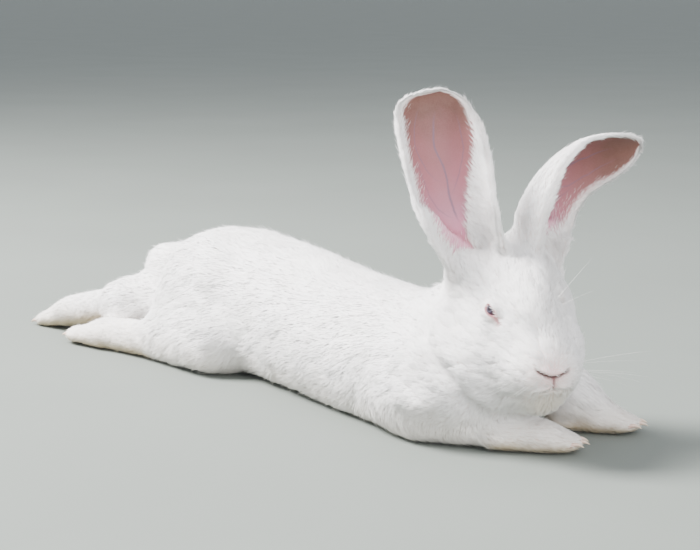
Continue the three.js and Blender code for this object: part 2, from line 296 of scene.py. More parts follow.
evening = spread(by_part(EVENING, owner), edges, EVENING_BLEND)
form = evened(form, edges, EVENING_ROUNDS, evening)
depth = spread(by_part(COAT_DEPTH, owner) * MM - FIRST_SINK, edges, DEPTH_BLEND)
depth = depth * np.clip(form[:, 2] / PRESSED, 0, 1)
form = form - outward(form, quads) * depth[:, None]
form = evened(form, edges, SUNK_EVENING, evening)

# The cheek stands out in full fur over a soft fold that runs from behind the ear to the throat.
CHEEK_LINE = (                     # in mm from between the eyes
    (-62, -54, 14), (-72, -55, -4), (-76, -58, -18), (-70, -61, -31), (-54, -64, -44),
    (-39, -60, -56), (-29, -53, -69), (-24, -39, -83), (-20, -16, -94),
)
CHEEK_MIDDLE = (-20, -48, -34)
CHEEK_FOLD = (7.5 * MM, 7 * MM)    # how deep it is, and half its width
CHEEK_RISE = (3.5 * MM, 10 * MM)   # how far the cheek stands out in front of it
CHEEK_RISE_FROM_FOLD = 14 * MM
CHEEK_STEPS = 200
CHEEK_ENDS = 25                    # steps over which the fold runs out at its ends
CHEEK_EVENING = 4


def bell(off, half_width):
    """1 at no distance, falling softly to nothing on both sides."""
    return np.exp(-(off / half_width) ** 2)


def ridge(shape, off):
    """A soft ridge of some height and half width, at a distance from its line."""
    height, half_width = shape
    return height * bell(off, half_width)


def point_tree(points):
    """A tree that finds which point is nearest to a place."""
    tree = KDTree(len(points))
    for number, place in enumerate(points):
        tree.insert(place, number)
    tree.balance()
    return tree


cheek_line = on_spine(CHEEK_LINE, np.linspace(0, 1, CHEEK_STEPS)) * MM + between_eyes
cheek_tree = point_tree(cheek_line)
nearest = [cheek_tree.find(place) for place in form]
line_number = np.array([near[1] for near in nearest])
off_line = np.array([near[2] for near in nearest])
line_place = cheek_line[line_number]
to_cheek = np.array(CHEEK_MIDDLE) * MM + between_eyes - line_place
cheek_side = off_line * np.sign(((form - line_place) * to_cheek).sum(1))
from_end = np.minimum(line_number, CHEEK_STEPS - 1 - line_number)
fold_here = ridge(CHEEK_FOLD, off_line) - ridge(CHEEK_RISE, cheek_side - CHEEK_RISE_FROM_FOLD)
form = form - outward(form, quads) * (fold_here * step(0, CHEEK_ENDS, from_end))[:, None]
form = evened(form, edges, CHEEK_EVENING, evening)
body_tree = BVHTree.FromPolygons(form.tolist(), halves(quads).tolist())


def mesh_object(name, points, faces):
    """A new object at the origin with its place in its mesh."""
    mesh = bpy.data.meshes.new(name)
    mesh.vertices.add(len(points))
    mesh.vertices.foreach_set("co", np.ascontiguousarray(points, np.float32).ravel())
    size = faces.shape[1]
    mesh.loops.add(len(faces) * size)
    mesh.loops.foreach_set("vertex_index", np.ascontiguousarray(faces, np.int32).ravel())
    mesh.polygons.add(len(faces))
    mesh.polygons.foreach_set("loop_start", np.arange(0, len(faces) * size, size, np.int32))
    mesh.update(calc_edges=True)
    piece = bpy.data.objects.new(name, mesh)
    bpy.context.scene.collection.objects.link(piece)
    return piece


def points_of(mesh):
    """All points of a mesh as rows."""
    return rows_of(mesh.vertices, "co", np.float32).astype(float)


def triangles_of(mesh):
    """All faces of a mesh as triangles."""
    mesh.calc_loop_triangles()
    return rows_of(mesh.loop_triangles, "vertices", np.int32).astype(np.int64)


# ---------------------------------------------------------------------------------------------
# The ears. Each is a leaf of cartilage under thin skin, rolled nearly into a tube at its root
# and open toward its tip. They are joined to the head in one skin, and the hollow has the
# folded flap and the pit that lead to the ear's opening. Sizes are in mm.

RIM_HAIR = 4.5                     # the leaf stops short of the solid's rim by this much
LEAF_THICKNESS = 2.4
LEAF_ROOT_THICKNESS = 5
ROOT_CURL = 2.3                    # half the angle that the leaf wraps round, in radians
ROOT_SHARE = 0.88                  # how much narrower the leaf is at its root
ROOT_STRETCH = 0.33                # share of the length over which the root widens
LEAF_SHARE = 0.97                  # share of the solid's length that the leaf covers
LEAF_ROWS = 96
LEAF_COLUMNS = 40
ROWS_TO_TIP = 1.5                  # how much the rows of points crowd toward the tip
COLUMNS_TO_RIM = 0.85              # and how much the columns crowd toward the rims
RIM_BLUNTNESS = 0.45               # power by which the leaf thins at its rims
SPINE_STEP = 0.002                 # share of the length over which the spine's way is taken
TAPER_FROM = 0.45                  # share of the length from which a narrower end sets in
# Spine from between the eyes, where the hollow faces and how much more it turns away halfway,
# how tightly it is rolled at its tip and how late it unrolls, how much its end narrows, and how
# square the tip is on its outer and its inner side.
EAR_SHAPES = {
    "ear_right": {
        "spine": ((-63, -2, 15), (-52, -31, 59), (-63, -36, 89), (-78, -35, 135),
                  (-87, -35, 183.5)),
        "root_facing": (0.84, -0.545, 0.1), "tip_facing": (0.84, -0.545, 0.05), "half_width": 48.5,
        "outer": 1, "mid_turn": (0, 0, 0), "tip_curl": 0.75, "unrolling": 0.55, "taper": 0,
        "tip_power": (30, 4.4),
    },
    "ear_left": {
        "spine": ((-48, 39, 14), (-45, 34, 55), (-50, 53, 87), (-50, 90, 115), (-28, 151, 129.5)),
        "root_facing": (0.85, 0.53, 0), "tip_facing": (0.62, -0.15, -0.65), "half_width": 61,
        "outer": -1, "mid_turn": (-0.03, 0.03, -0.04), "tip_curl": 0.8, "unrolling": 0.74,
        "taper": 0.27, "tip_power": (12, 3.6),
    },
}
# The folded flap's free edge as shares across and along the hollow, and from where to where
# the flap rises over that edge, sinks toward the rim, ends toward the tip and starts at the foot.
FLAP_LINE = ((0.62, 0.47), (0.34, 0.30), (0.04, 0.19), (-0.04, 0.10))
FLAP_HEIGHT = 6.5
FLAP_EDGE = (-0.03, 0.03)
FLAP_TO_RIM = (0.75, 0.1)
FLAP_TOP = (0.52, 0.40)
FLAP_FOOT = (0.0, 0.1)


def flap_rise(outward_share, along):
    """How far the folded flap stands out of the hollow, on the ear's outer side."""
    line = np.array(FLAP_LINE)
    beyond = outward_share - np.interp(along, line[::-1, 1], line[::-1, 0])
    rise = FLAP_HEIGHT * step(*FLAP_EDGE, beyond) * step(*FLAP_TO_RIM, beyond)
    return rise * step(*FLAP_TOP, along) * step(*FLAP_FOOT, along)


def leaf_sides(spine, root_facing, tip_facing, half_width, outer, mid_turn, tip_curl, unrolling,
               taper, tip_power):
    """The closed leaf as points and quads, each point's place on it, and the ways up and out."""
    row = np.linspace(0, 1, LEAF_ROWS)
    reach = 1 - (1 - row) ** ROWS_TO_TIP
    column = np.linspace(0, 2 * math.pi, 2 * LEAF_COLUMNS, endpoint=False)
    sweep = np.sign(np.cos(column)) * abs(np.cos(column)) ** COLUMNS_TO_RIM
    inner = np.sin(column)
    reach, sweep, inner = (grid.ravel() for grid in np.broadcast_arrays(
        reach[:, None], sweep[None], inner[None]))
    share = reach * LEAF_SHARE
    centre = on_spine(spine, share)
    ahead = unit(on_spine(spine, np.minimum(share + SPINE_STEP, 1))
                 - on_spine(spine, share - SPINE_STEP))
    facing = np.array(root_facing) * (1 - share)[:, None] + np.array(tip_facing) * share[:, None]
    facing = facing + np.array(mid_turn) * (4 * share * (1 - share))[:, None]
    facing = unit(facing - ahead * (facing * ahead).sum(1)[:, None])
    side = np.cross(facing, ahead)
    rootward = np.minimum(share / ROOT_STRETCH, 1)
    tips = [np.sqrt(np.clip(1 - reach ** power, 0, 1)) for power in tip_power]
    width = (half_width - RIM_HAIR) * (ROOT_SHARE + (1 - ROOT_SHARE) * rootward) * tips[0]
    width = width * (1 - taper * step(TAPER_FROM, 1, share))
    narrower = np.where(sweep * outer > 0, 1, (tips[1] + 1e-6) / (tips[0] + 1e-6))
    curl = ROOT_CURL + (tip_curl - ROOT_CURL) * share ** unrolling
    radius = np.maximum(width, 0.01) / curl
    thickness = LEAF_ROOT_THICKNESS + (LEAF_THICKNESS - LEAF_ROOT_THICKNESS) * rootward
    thickness = np.minimum(thickness, width) * np.sign(inner) * abs(inner) ** RIM_BLUNTNESS
    lift = flap_rise(sweep * outer, share) * step(0, 0.3, inner)
    layer = radius - thickness / 2 - lift
    angle = sweep * curl * narrower
    middle = radius * np.sin(curl) / curl
    place = (centre + side * (layer * np.sin(angle))[:, None]
             + facing * (middle - layer * np.cos(angle))[:, None])
    aside = (side * np.cos(angle)[:, None] + facing * np.sin(angle)[:, None]) * outer
    number = np.arange(len(place)).reshape(LEAF_ROWS, -1)
    after = np.roll(number, -1, 1)
    quads = np.stack([number[:-1], after[:-1], after[1:], number[1:]], -1).reshape(-1, 4)
    return place, quads, np.stack([sweep * outer, share, inner], 1), ahead, aside


def closed_leaf(name, place, quads):
    """A mesh object of the leaf with its two ends filled."""
    leaf = mesh_object(name, between_eyes + place * MM, quads)
    bm = bmesh.new()
    bm.from_mesh(leaf.data)
    bmesh.ops.remove_doubles(bm, verts=bm.verts, dist=CORNER)
    bmesh.ops.dissolve_degenerate(bm, edges=bm.edges, dist=CORNER)
    bmesh.ops.holes_fill(bm, edges=[e for e in bm.edges if e.is_boundary], sides=0)
    bmesh.ops.triangulate(bm, faces=bm.faces)
    bmesh.ops.recalc_face_normals(bm, faces=bm.faces)
    bm.to_mesh(leaf.data)
    bm.free()
    return leaf


skin = mesh_object("skin", form, quads)
leaf_points, leaf_places, leaf_ahead, leaf_aside = {}, {}, {}, {}
for name in EARS:
    place, quads, leaf_places[name], leaf_ahead[name], leaf_aside[name] = leaf_sides(
        **EAR_SHAPES[name])
    leaf_points[name] = between_eyes + place * MM
    leaf = closed_leaf("leaf_" + name, place, quads)
    join = skin.modifiers.new(leaf.name, "BOOLEAN")
    join.operation = "UNION"
    join.solver = "MANIFOLD"
    join.object = leaf


def settled(piece):
    """Puts a piece's modifiers into its mesh."""
    bpy.context.view_layer.update()
    shown = piece.evaluated_get(bpy.context.evaluated_depsgraph_get())
    piece.data = bpy.data.meshes.new_from_object(shown)
    piece.modifiers.clear()
    piece.vertex_groups.clear()


settled(skin)
for name in EARS:
    bpy.data.objects.remove(bpy.data.objects["leaf_" + name])

# Broad parts need fewer faces than the head, ears and feet.
BROAD = ("neck", "trunk", "tail", "foreleg", "hindleg")
FACES_KEPT = 0.52
EAR_MARGIN = 12 * MM               # faces this near to an ear are kept

joined = points_of(skin.data)
ear_tree = {name: point_tree(leaf_points[name]) for name in EARS}
owner = nearest_node(joined)
broad = np.isin([part_of(flesh[k]) for k in owner], BROAD)
off_ears = np.array([min(ear_tree[name].find(place)[2] for name in EARS) for place in joined])
thin_out = skin.modifiers.new("thin_out", "DECIMATE")
thin_out.ratio = FACES_KEPT
thin_out.use_collapse_triangulate = True
broad_area = skin.vertex_groups.new(name="broad")
broad_area.add(np.nonzero(broad & (off_ears > EAR_MARGIN))[0].tolist(), 1.0, "ADD")
thin_out.vertex_group = broad_area.name
settled(skin)

# ---------------------------------------------------------------------------------------------
# The face. A rabbit's half-closed lids slant down toward the nose over a bulging eye, the
# nostrils are two folds that meet in a V, and a split in the upper lip runs down to the mouth.
# They are pressed into the skin, which first gets smaller faces there. Sizes are in mm.

HEAD_DIP = math.radians(17)        # how far the nose points down from level
BROW_SHIFT = -4.5                  # the brow sits a little to the right of the nose, as it turns
BROW_NARROWING = 0.145
BROW_MIDDLE = (2, 4)               # ahead and up, and how far from there the narrowing reaches
BROW_REACH = (40, 34)
FAR_BROW = 5.5                     # the left of the brow is turned in by this much more
FAR_BROW_EDGE = (8, 30)
FAR_CHEEK = ((16, 38, -24), (22, 24, 15), 3.5)  # middle, reach and rise of the left cheek
SIDES = (1, -1)                    # left and right
EYE_SET_BACK = {1: -17.0, -1: 0.0}  # the left eye lies further back, with the turn of the brow,
EYE_TURN = {1: math.radians(37), -1: 0.0}  # and looks further to its side
LID_THICKNESS = 1.3
LID_BLEND = 3                      # how softly the lids run out into the cheek
LID_REACH = 9                      # how far beyond the lids the eye's shaping fades away
LID_FACING = (0.05, 0.45)          # how squarely skin has to face the gaze to be shaped
LID_CREASE = (0.4, 0.9)            # depth and half width of the fold in the upper lid,
LID_CREASE_RISE = 4.2              # how far it lies over the opening, and half its length
LID_CREASE_HALF = 9
LID_MARGIN = (0.35, 0.7)           # the same for the rim of both lids
LID_MARGIN_RISE = 0.8
LID_MARGIN_HALF = 7
SLIT_OUTER = (-2.6, 8.4, 6.6)      # ends of the open slit, from the middle of the left eye
SLIT_INNER = (8.9, 5.9, 3.4)
SLIT_HALF_HEIGHT = 2.2
SLIT_BLUNTNESS = 0.6
SLIT_SOFTNESS = 0.35
SLIT_DEPTH = 6.5                   # how far the opening sinks, well inside the eyeball
TEAR_CORNER = (14.6, 0.8, -3.4)
TEAR_GROOVE = (1.3, 1.3)           # depth and half width
MUZZLE_FRONT = (40, 52)            # how far ahead of the eyes the muzzle's folds come in
NOSTRIL_FOLD = (3.0, 1.1)          # how deep or high these folds are, and half their width
NOSTRIL_WING = (1.5, 2.6)
LIP_CLEFT = (1.8, 0.8)
MOUTH_FOLD = (2.2, 2.0)
CHIN_HOLLOW = (2.5, 7)
LIP_PAD = (1.2, 3.0)
WING_RISE = 3.2                    # how far the wing lies over its nostril,
CHIN_DROP = 9                      # the hollow of the chin under the mouth,
LIP_PAD_RISE = 4.5                 # the pad of each lip over the mouth,
LIP_PAD_ASIDE = (8, 6)             # and that pad from the middle, with half its width
NOSTRIL_MEET = (64, 0, -30.7)      # where the two nostril folds meet, from between the eyes
NOSTRIL_HALF_WIDTH = 14.5
NOSTRIL_RISE = 6.0
LEFT_NOSTRIL = 0.55                # share of that rise on the left, which is turned away
NOSTRIL_CURVE = 1.6
LIP_SPLIT = 13.5
MOUTH_DROP = 5                     # how far the mouth's corners hang below the split

face_left = unit(node_middle("eye_left") - node_middle("eye_right"))
level_ahead = unit(np.cross(face_left, (0, 0, 1)))
level_up = np.cross(level_ahead, face_left)
face_ahead = level_ahead * math.cos(HEAD_DIP) - level_up * math.sin(HEAD_DIP)
face_axes = np.stack([face_ahead, face_left, np.cross(face_ahead, face_left)])
eye_radius = (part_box("eye_left")[1].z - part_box("eye_left")[0].z) / 2 / MM
eye_spread = np.linalg.norm(node_middle("eye_left") - between_eyes) / MM
eye_place = {side: np.array((EYE_SET_BACK[side], side * eye_spread * (1 - BROW_NARROWING)
                             + BROW_SHIFT, 0)) for side in SIDES}


def to_face(points):
    """Points in mm from between the eyes: ahead, to the left and up."""
    return (points - between_eyes) @ face_axes.T / MM


def from_face(points):
    """The same points back in metres."""
    return np.asarray(points) * MM @ face_axes + between_eyes


def with_brow(face):
    """Narrows the head at the brow and sets it over a little."""
    ahead, left, up = face.T
    fade = np.exp(-((ahead - BROW_MIDDLE[0]) / BROW_REACH[0]) ** 2
                  - ((up - BROW_MIDDLE[1]) / BROW_REACH[1]) ** 2)
    moved = left * (1 - BROW_NARROWING * fade) + BROW_SHIFT * fade
    moved = moved - FAR_BROW * fade * step(*FAR_BROW_EDGE, left)
    middle, reach, rise = FAR_CHEEK
    moved = moved + rise * np.exp(-(((face - middle) / reach) ** 2).sum(1))
    return np.stack([ahead, moved, up], 1)


def divided(mesh, centre, reach):
    """Splits each edge that lies within reach of a point in two."""
    bm = bmesh.new()
    bm.from_mesh(mesh)
    near = {v for v in bm.verts if (v.co - Vector(centre)).length < reach}
    chosen = [e for e in bm.edges if e.verts[0] in near and e.verts[1] in near]
    bmesh.ops.subdivide_edges(bm, edges=chosen, cuts=1, use_grid_fill=True)
    bmesh.ops.triangulate(bm, faces=[f for f in bm.faces if len(f.verts) > 3])
    bm.to_mesh(mesh)
    bm.free()


slit_outer, slit_inner = np.array(SLIT_OUTER), np.array(SLIT_INNER)
slit_half_length = np.linalg.norm(slit_inner - slit_outer) / 2
slit_facing = (slit_outer + slit_inner) / np.linalg.norm(slit_outer + slit_inner)
slit_along = slit_inner - slit_outer
slit_along = slit_along - slit_facing * (slit_along @ slit_facing)
slit_along = slit_along / np.linalg.norm(slit_along)
slit_up = np.cross(slit_along, slit_facing)


def eye_axes(side):
    """The axes of an eye as rows on those of the face: ahead, out to its side, and up."""
    turned, still = math.sin(EYE_TURN[side]), math.cos(EYE_TURN[side])
    return np.array(((still, turned, 0), (-turned, still, 0), (0, 0, 1))) * (1, side, 1)


def on_eye(face, side):
    """Places from an eye's middle, how far they are, and where along and across its slit."""
    from_eye = (face - eye_place[side]) @ eye_axes(side).T
    far = np.linalg.norm(from_eye, axis=1)
    way = from_eye / np.maximum(far, 1e-6)[:, None]
    along = eye_radius * np.arctan2(way @ slit_along, way @ slit_facing)
    across = eye_radius * np.arcsin(np.clip(way @ slit_up, -1, 1))
    return from_eye, far, along, across


def slit_edge(along):
    """Half the height of the opening: an almond, blunt at its outer end."""
    share = np.clip(1 - (along / slit_half_length) ** 2, 0, 1)
    return SLIT_HALF_HEIGHT * share ** SLIT_BLUNTNESS


def off_segment(places, start, end):
    """How far points are from the straight line between two places."""
    run = end - start
    share = np.clip((places - start) @ run / (run @ run), 0, 1)
    return np.linalg.norm(places - start - share[:, None] * run, axis=1)


def with_eye(face, side):
    """Wraps lids round an eyeball and opens the slit between them."""
    from_eye, far, along, across = on_eye(face, side)
    lid = eye_radius + LID_THICKNESS
    facing = from_eye @ slit_facing / np.maximum(far, 1e-6)
    hold = step(*LID_FACING, facing) * step(lid + 2 * LID_REACH, lid + LID_REACH, far)
    wrapped = (far + lid + np.hypot(far - lid, LID_BLEND)) / 2
    edge = slit_edge(along)
    crease = ridge(LID_CREASE, across - edge - LID_CREASE_RISE)
    margin = ridge(LID_MARGIN, abs(across) - edge - LID_MARGIN_RISE)
    wrapped = wrapped - crease * (abs(along) < LID_CREASE_HALF)
    wrapped = wrapped + margin * (abs(along) < LID_MARGIN_HALF)
    opened = step(SLIT_SOFTNESS, -SLIT_SOFTNESS, abs(across) - edge)
    wrapped = wrapped - SLIT_DEPTH * opened * (abs(along) < slit_half_length)
    beside = off_segment(from_eye, slit_inner, np.array(TEAR_CORNER))
    moved = far + (wrapped - far) * hold - ridge(TEAR_GROOVE, beside) * (facing > 0)
    return eye_place[side] + (face - eye_place[side]) * (moved / np.maximum(far, 1e-6))[:, None]


def nostril_height(left):
    """Height of the nostril fold beside the middle of the nose, a little lower on the left."""
    rise = np.where(left > 0, LEFT_NOSTRIL, 1) * NOSTRIL_RISE
    return NOSTRIL_MEET[2] + rise * abs(left / NOSTRIL_HALF_WIDTH) ** NOSTRIL_CURVE


def mouth_height(aside):
    """Height of the mouth at a distance from its middle."""
    return NOSTRIL_MEET[2] - LIP_SPLIT - MOUTH_DROP * (aside / 20) ** 1.3


def with_muzzle(face, normal):
    """Presses in the nostril folds, the split lip and the mouth."""
    ahead, left, up = face.T
    aside = abs(left)
    front = step(*MUZZLE_FRONT, ahead)
    over = up - nostril_height(left)
    fold_end = step(NOSTRIL_HALF_WIDTH + 1, NOSTRIL_HALF_WIDTH - 4, aside)
    fold = ridge(NOSTRIL_FOLD, over) * fold_end
    wing = ridge(NOSTRIL_WING, over - WING_RISE) * step(14, 6, aside)
    below = NOSTRIL_MEET[2] - up
    split = ridge(LIP_CLEFT, left) * step(-0.6, 0.8, below)
    split = split * step(LIP_SPLIT + 2, LIP_SPLIT, below)
    over_mouth = up - mouth_height(aside)
    mouth = ridge(MOUTH_FOLD, over_mouth) * step(20, 8, aside)
    mouth = mouth + ridge(CHIN_HOLLOW, over_mouth + CHIN_DROP) * step(22, 8, aside)
    lip = ridge(LIP_PAD, over_mouth - LIP_PAD_RISE)
    lip = lip * bell(aside - LIP_PAD_ASIDE[0], LIP_PAD_ASIDE[1])
    return face + normal * ((wing + lip - fold - split - mouth) * front)[:, None]


def move_points(mesh, points):
    """Gives a mesh's points new places."""
    mesh.vertices.foreach_set("co", points.astype(np.float32).ravel())
    mesh.update()


FINE_EYE = (17, 13.5)              # reaches of the finer faces, round after round
FINE_NOSE = (26, 19)
CROWN = (-38, 6, 48)               # in mm from between the eyes, along the model's own axes
CROWN_REACH = 24
CROWN_EVENING = 90                 # rounds that round the crown into the feet of the ears
ROOT_EVENING = 36                  # rounds that round off the corner between crown and ear
ROOT_REACH = (16, 6)               # how near the ear, and how near the body, that corner is
BODY_REACH = (14, 4)
FACE_REACH = 30                    # how far round the nose and eyes the face is evened
FACE_EVENING = 6
move_points(skin.data, from_face(with_brow(to_face(points_of(skin.data)))))
for reach in FINE_EYE:
    for side in SIDES:
        slit_place = np.array(SLIT_OUTER) * (1, side, 1) + (4, 0, 0) + eye_place[side]
        divided(skin.data, from_face(slit_place), reach * MM)
for reach in FINE_NOSE:
    divided(skin.data, from_face(NOSTRIL_MEET), reach * MM)

form = points_of(skin.data)
triangles = triangles_of(skin.data)
edges = edges_of(triangles)
off_leaf = np.array([min(ear_tree[name].find(place)[2] for name in EARS) for place in form]) / MM
off_body = np.array([body_tree.find_nearest(place)[3] for place in form]) / MM
on_body = step(*BODY_REACH, off_body)
form = evened(form, edges, ROOT_EVENING, step(*ROOT_REACH, off_leaf) * on_body)
off_crown = np.linalg.norm(form - between_eyes - np.array(CROWN) * MM, axis=1)
form = evened(form, edges, CROWN_EVENING, bell(off_crown, CROWN_REACH * MM) * on_body)
face = to_face(form)
off_nose = np.linalg.norm(face - NOSTRIL_MEET, axis=1)
off_eyes = np.linalg.norm(abs(face) * (1, 1, 0) - (6, eye_spread + 3, 0), axis=1)
near_face = np.minimum(off_nose, off_eyes) < FACE_REACH
form = evened(form, edges, FACE_EVENING, near_face * 1.0)
face = with_muzzle(to_face(form), outward(form, triangles) @ face_axes.T)
for side in SIDES:
    face = with_eye(face, side)
form = from_face(face)
move_points(skin.data, form)

# ---------------------------------------------------------------------------------------------
# The lie of the coat. Hair grows back from the nose over head, neck and trunk, down the legs
# to the toes, and up the ears. Each point of the skin gets the way its hair lies, its length
# and its depth, all softened so that one part's hair runs into the next.

HAIR_LENGTH = {                    # in mm
    "head": 8, "neck": 19, "trunk": 21, "tail": 24, "foreleg": 14,
    "forepaw": 6, "hindleg": 19, "hindfoot": 7, "eye": 3,
}
EAR_HAIR = 6
EAR_HAIR_DEPTH = 1.8
EAR_REACH = (9 * MM, 2 * MM)       # how near a leaf the skin turns into the ear's
RIM_HAIR_MORE = 1.5                # how much longer the hair is along the rims of the ears,
VEIL_HAIR_MORE = 3                 # over the edges of their bare part,
RIM_DEPTH_MORE = 3.2               # and how much further it stands out behind the rims
THIN_EDGE = 0.5                    # how much of that the left ear's lower edge has lost
HOLLOW_LEAN = 0.85                 # how far hair leans outward in the hollow and at the rims
RIM_LEAN = 0.4


def claws_middle(kind, side):
    """The middle of a foot's four claws."""
    return sum(node_middle(f"claw_{kind}_{side}_{number}") for number in (1, 2, 3, 4)) / 4


lie_of = {
    "neck": (-1, 0, -0.3), "trunk": (-1, 0, -0.3), "tail": (-1, 0, 0.15), "eye": (-1, 0, 0),
    "hindleg_right": (-1, -0.1, -0.5), "hindleg_left": (-0.8, -0.6, -0.3),
}
LIE_ROUNDS = 150
LENGTH_ROUNDS = 30
SHOULDER = 60 * MM                 # how far down the foreleg the hair turns from back to forward
SHOULDER_LIE = (-0.7, 0, -0.7)
LEG_DROOP = (0, 0, -0.3)
PARTING = (100, 0, NOSTRIL_MEET[2])  # the head's hair lies away from here, in front of the nose
for side in ("left", "right"):
    fore_tip, hind_tip = claws_middle("fore", side), claws_middle("hind", side)
    lie_of["foreleg_" + side] = node_middle("forepaw_" + side) - node_middle("foreleg_" + side)
    lie_of["forepaw_" + side] = fore_tip - node_middle("forepaw_" + side)
    lie_of["hindfoot_" + side] = hind_tip - node_middle("hindfoot_" + side)

normal = outward(form, triangles)
owner = nearest_node(form)
ear_near = {name: [ear_tree[name].find(place) for place in form] for name in EARS}
ear_far = np.stack([[near[2] for near in ear_near[name]] for name in EARS])
ear_point = np.stack([[near[1] for near in ear_near[name]] for name in EARS])
which_ear = ear_far.argmin(0)
aside_and_along, ear_ahead, ear_aside = (
    np.choose(which_ear[:, None], [table[name][ear_point[k]] for k, name in enumerate(EARS)])
    for table in (leaf_places, leaf_ahead, leaf_aside))
aside_share, along_share, inner = aside_and_along.T
is_ear = step(*EAR_REACH, ear_far.min(0))
ear_rim = np.maximum(step(0.86, 0.98, abs(aside_share)), step(0.945, 0.97, along_share)) * is_ear
in_hollow = step(0.05, 0.35, inner) * is_ear

# The bare part of the hollow: places along the ear, and how far out the bare skin reaches there
# toward the outer and the inner rim. Last, how far in the hair of the outer rim veils it.
BARE_OUTER = ((0.06, 0.1), (0.12, 0.32), (0.2, 0.6), (0.255, 0.74), (0.4, 0.84), (0.545, 0.88),
              (0.62, 0.9), (0.76, 0.92), (0.9, 0.92), (0.955, 0.85), (0.975, 0.0))
BARE_INNER = ((0.07, 0.0), (0.12, 0.02), (0.2, 0.06), (0.255, 0.12), (0.4, 0.31), (0.545, 0.5),
              (0.62, 0.62), (0.76, 0.84), (0.9, 0.9), (0.955, 0.8), (0.975, 0.0))
OUTER_VEIL = ((0.1, 0.5), (0.25, 0.55), (0.5, 0.4), (0.7, 0.24), (1, 0.16))
INNER_VEIL = 0.2
BARE_EDGE = (-0.06, 0.1)
BARE_FOOT = (0.04, 0.09)


def bare_share(aside, along):
    """1 where the hollow is bare, 0 out in the hair, and how thinly hair veils its edges."""
    outer_bound, inner_bound, outer_veil = (
        np.interp(along, *np.array(line).T) for line in (BARE_OUTER, BARE_INNER, OUTER_VEIL))
    from_outer, from_inner = outer_bound - aside, aside + inner_bound
    inside = np.minimum(from_outer, from_inner)
    edge_veil = np.maximum(step(1, 0, from_outer / outer_veil), step(INNER_VEIL, 0, from_inner))
    return step(*BARE_EDGE, inside) * step(*BARE_FOOT, along), edge_veil


bare, veil = (share * in_hollow for share in bare_share(aside_share, along_share))
lie = np.zeros_like(form)
for number, name in enumerate(flesh):
    part = part_of(name)
    if part == "head":
        way = unit(form - from_face(PARTING))
    elif part == "foreleg":
        leg = unit(lie_of[name])
        down = (form - np.array(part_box(name)[0])) @ leg
        turned = step(0.1, 1, (down - down[owner == number].min()) / SHOULDER)[:, None]
        way = unit(leg + LEG_DROOP) * turned + unit(np.array(SHOULDER_LIE)) * (1 - turned)
    else:
        way = unit(np.array(lie_of.get(name, lie_of.get(part)), float))[None]
    lie = np.where((owner == number)[:, None], way, lie)
lean = -np.sign(aside_share) * in_hollow * HOLLOW_LEAN
lean = lean + np.sign(aside_share) * ear_rim * (1 - in_hollow) * RIM_LEAN
ear_lie = ear_ahead + ear_aside * lean[:, None]
lie = lie * (1 - is_ear)[:, None] + ear_lie * is_ear[:, None]
lie = spread(lie, edges, LIE_ROUNDS)
lie = unit(lie - normal * (lie * normal).sum(1)[:, None])

length = by_part(HAIR_LENGTH, owner) * (1 - is_ear) + EAR_HAIR * is_ear
length = spread(length, edges, LENGTH_ROUNDS)
depth = by_part(COAT_DEPTH, owner) * (1 - is_ear) + EAR_HAIR_DEPTH * is_ear
depth = spread(depth, edges, LENGTH_ROUNDS)
thin_edge = (which_ear == EARS.index("ear_left")) * is_ear
thin_edge = thin_edge * step(0.5, 0.85, aside_share) * step(0.25, 0.45, along_share)
edge_hair = 1 - THIN_EDGE * thin_edge
length = (length + ear_rim * RIM_HAIR_MORE + veil * (1 - ear_rim) * VEIL_HAIR_MORE) * edge_hair
depth = depth + ear_rim * (1 - in_hollow) * RIM_DEPTH_MORE * edge_hair

# Hair is at its shortest round the lids, along the tears and on the nose.
LID_HAIR = (0.32, 0.68)            # share of the length that is left there, and what is lost,
LID_HAIR_REACH = (1, 9)            # and between which distances in mm it comes back
NOSE_HAIR = (0.25, 0.75)
NOSE_HAIR_REACH = (4, 40)
SHORT_DEPTH = (0.65, 0.35)         # the same shares for the depth of the shortest hair
TEAR_START = (1.5, 0, 0)           # how far inside the corner of the eye the tears start


def off_slit(far, along, across, half_length, shell):
    """How far points are from a slit, where each mm outside a shell counts as three."""
    outside = np.maximum(far - shell, 0)
    return np.hypot(np.maximum(abs(along) - half_length, 0), across) + 3 * outside


face = to_face(form)
slits = [on_eye(face, side) for side in SIDES]
lid_far = np.minimum(*[off_slit(far, along, across, 6, 14) for _, far, along, across in slits])
tear_lines = [off_segment(from_eye, slit_inner - TEAR_START, np.array(TEAR_CORNER))
              for from_eye, _, _, _ in slits]
nose_far = np.linalg.norm(face - NOSTRIL_MEET, axis=1)
near_lid = step(*LID_HAIR_REACH, np.minimum(lid_far, np.minimum(*tear_lines)))
short = np.minimum(near_lid * LID_HAIR[1] + LID_HAIR[0],
                   step(*NOSE_HAIR_REACH, nose_far) * NOSE_HAIR[1] + NOSE_HAIR[0])
length = length * short
depth = depth * (SHORT_DEPTH[0] + SHORT_DEPTH[1] * short)

# ---------------------------------------------------------------------------------------------
# The unwrap. The skin is laid out flat in patches of its own shape, and every tuft of the coat
# keeps the place of its root on that layout.

BAKE_MAP = "OFBake"
skin.data.uv_layers.new(name=BAKE_MAP)
bpy.context.view_layer.objects.active = skin
skin.select_set(True)
bpy.ops.object.mode_set(mode="EDIT")
bpy.ops.mesh.select_all(action="SELECT")
bpy.ops.uv.smart_project(angle_limit=math.radians(75), island_margin=0.002)
bpy.ops.object.mode_set(mode="OBJECT")
corner_map = np.empty((len(skin.data.loops), 2), np.float32)
skin.data.uv_layers[BAKE_MAP].data.foreach_get("uv", corner_map.ravel())
corner_map = corner_map.reshape(-1, 3, 2)
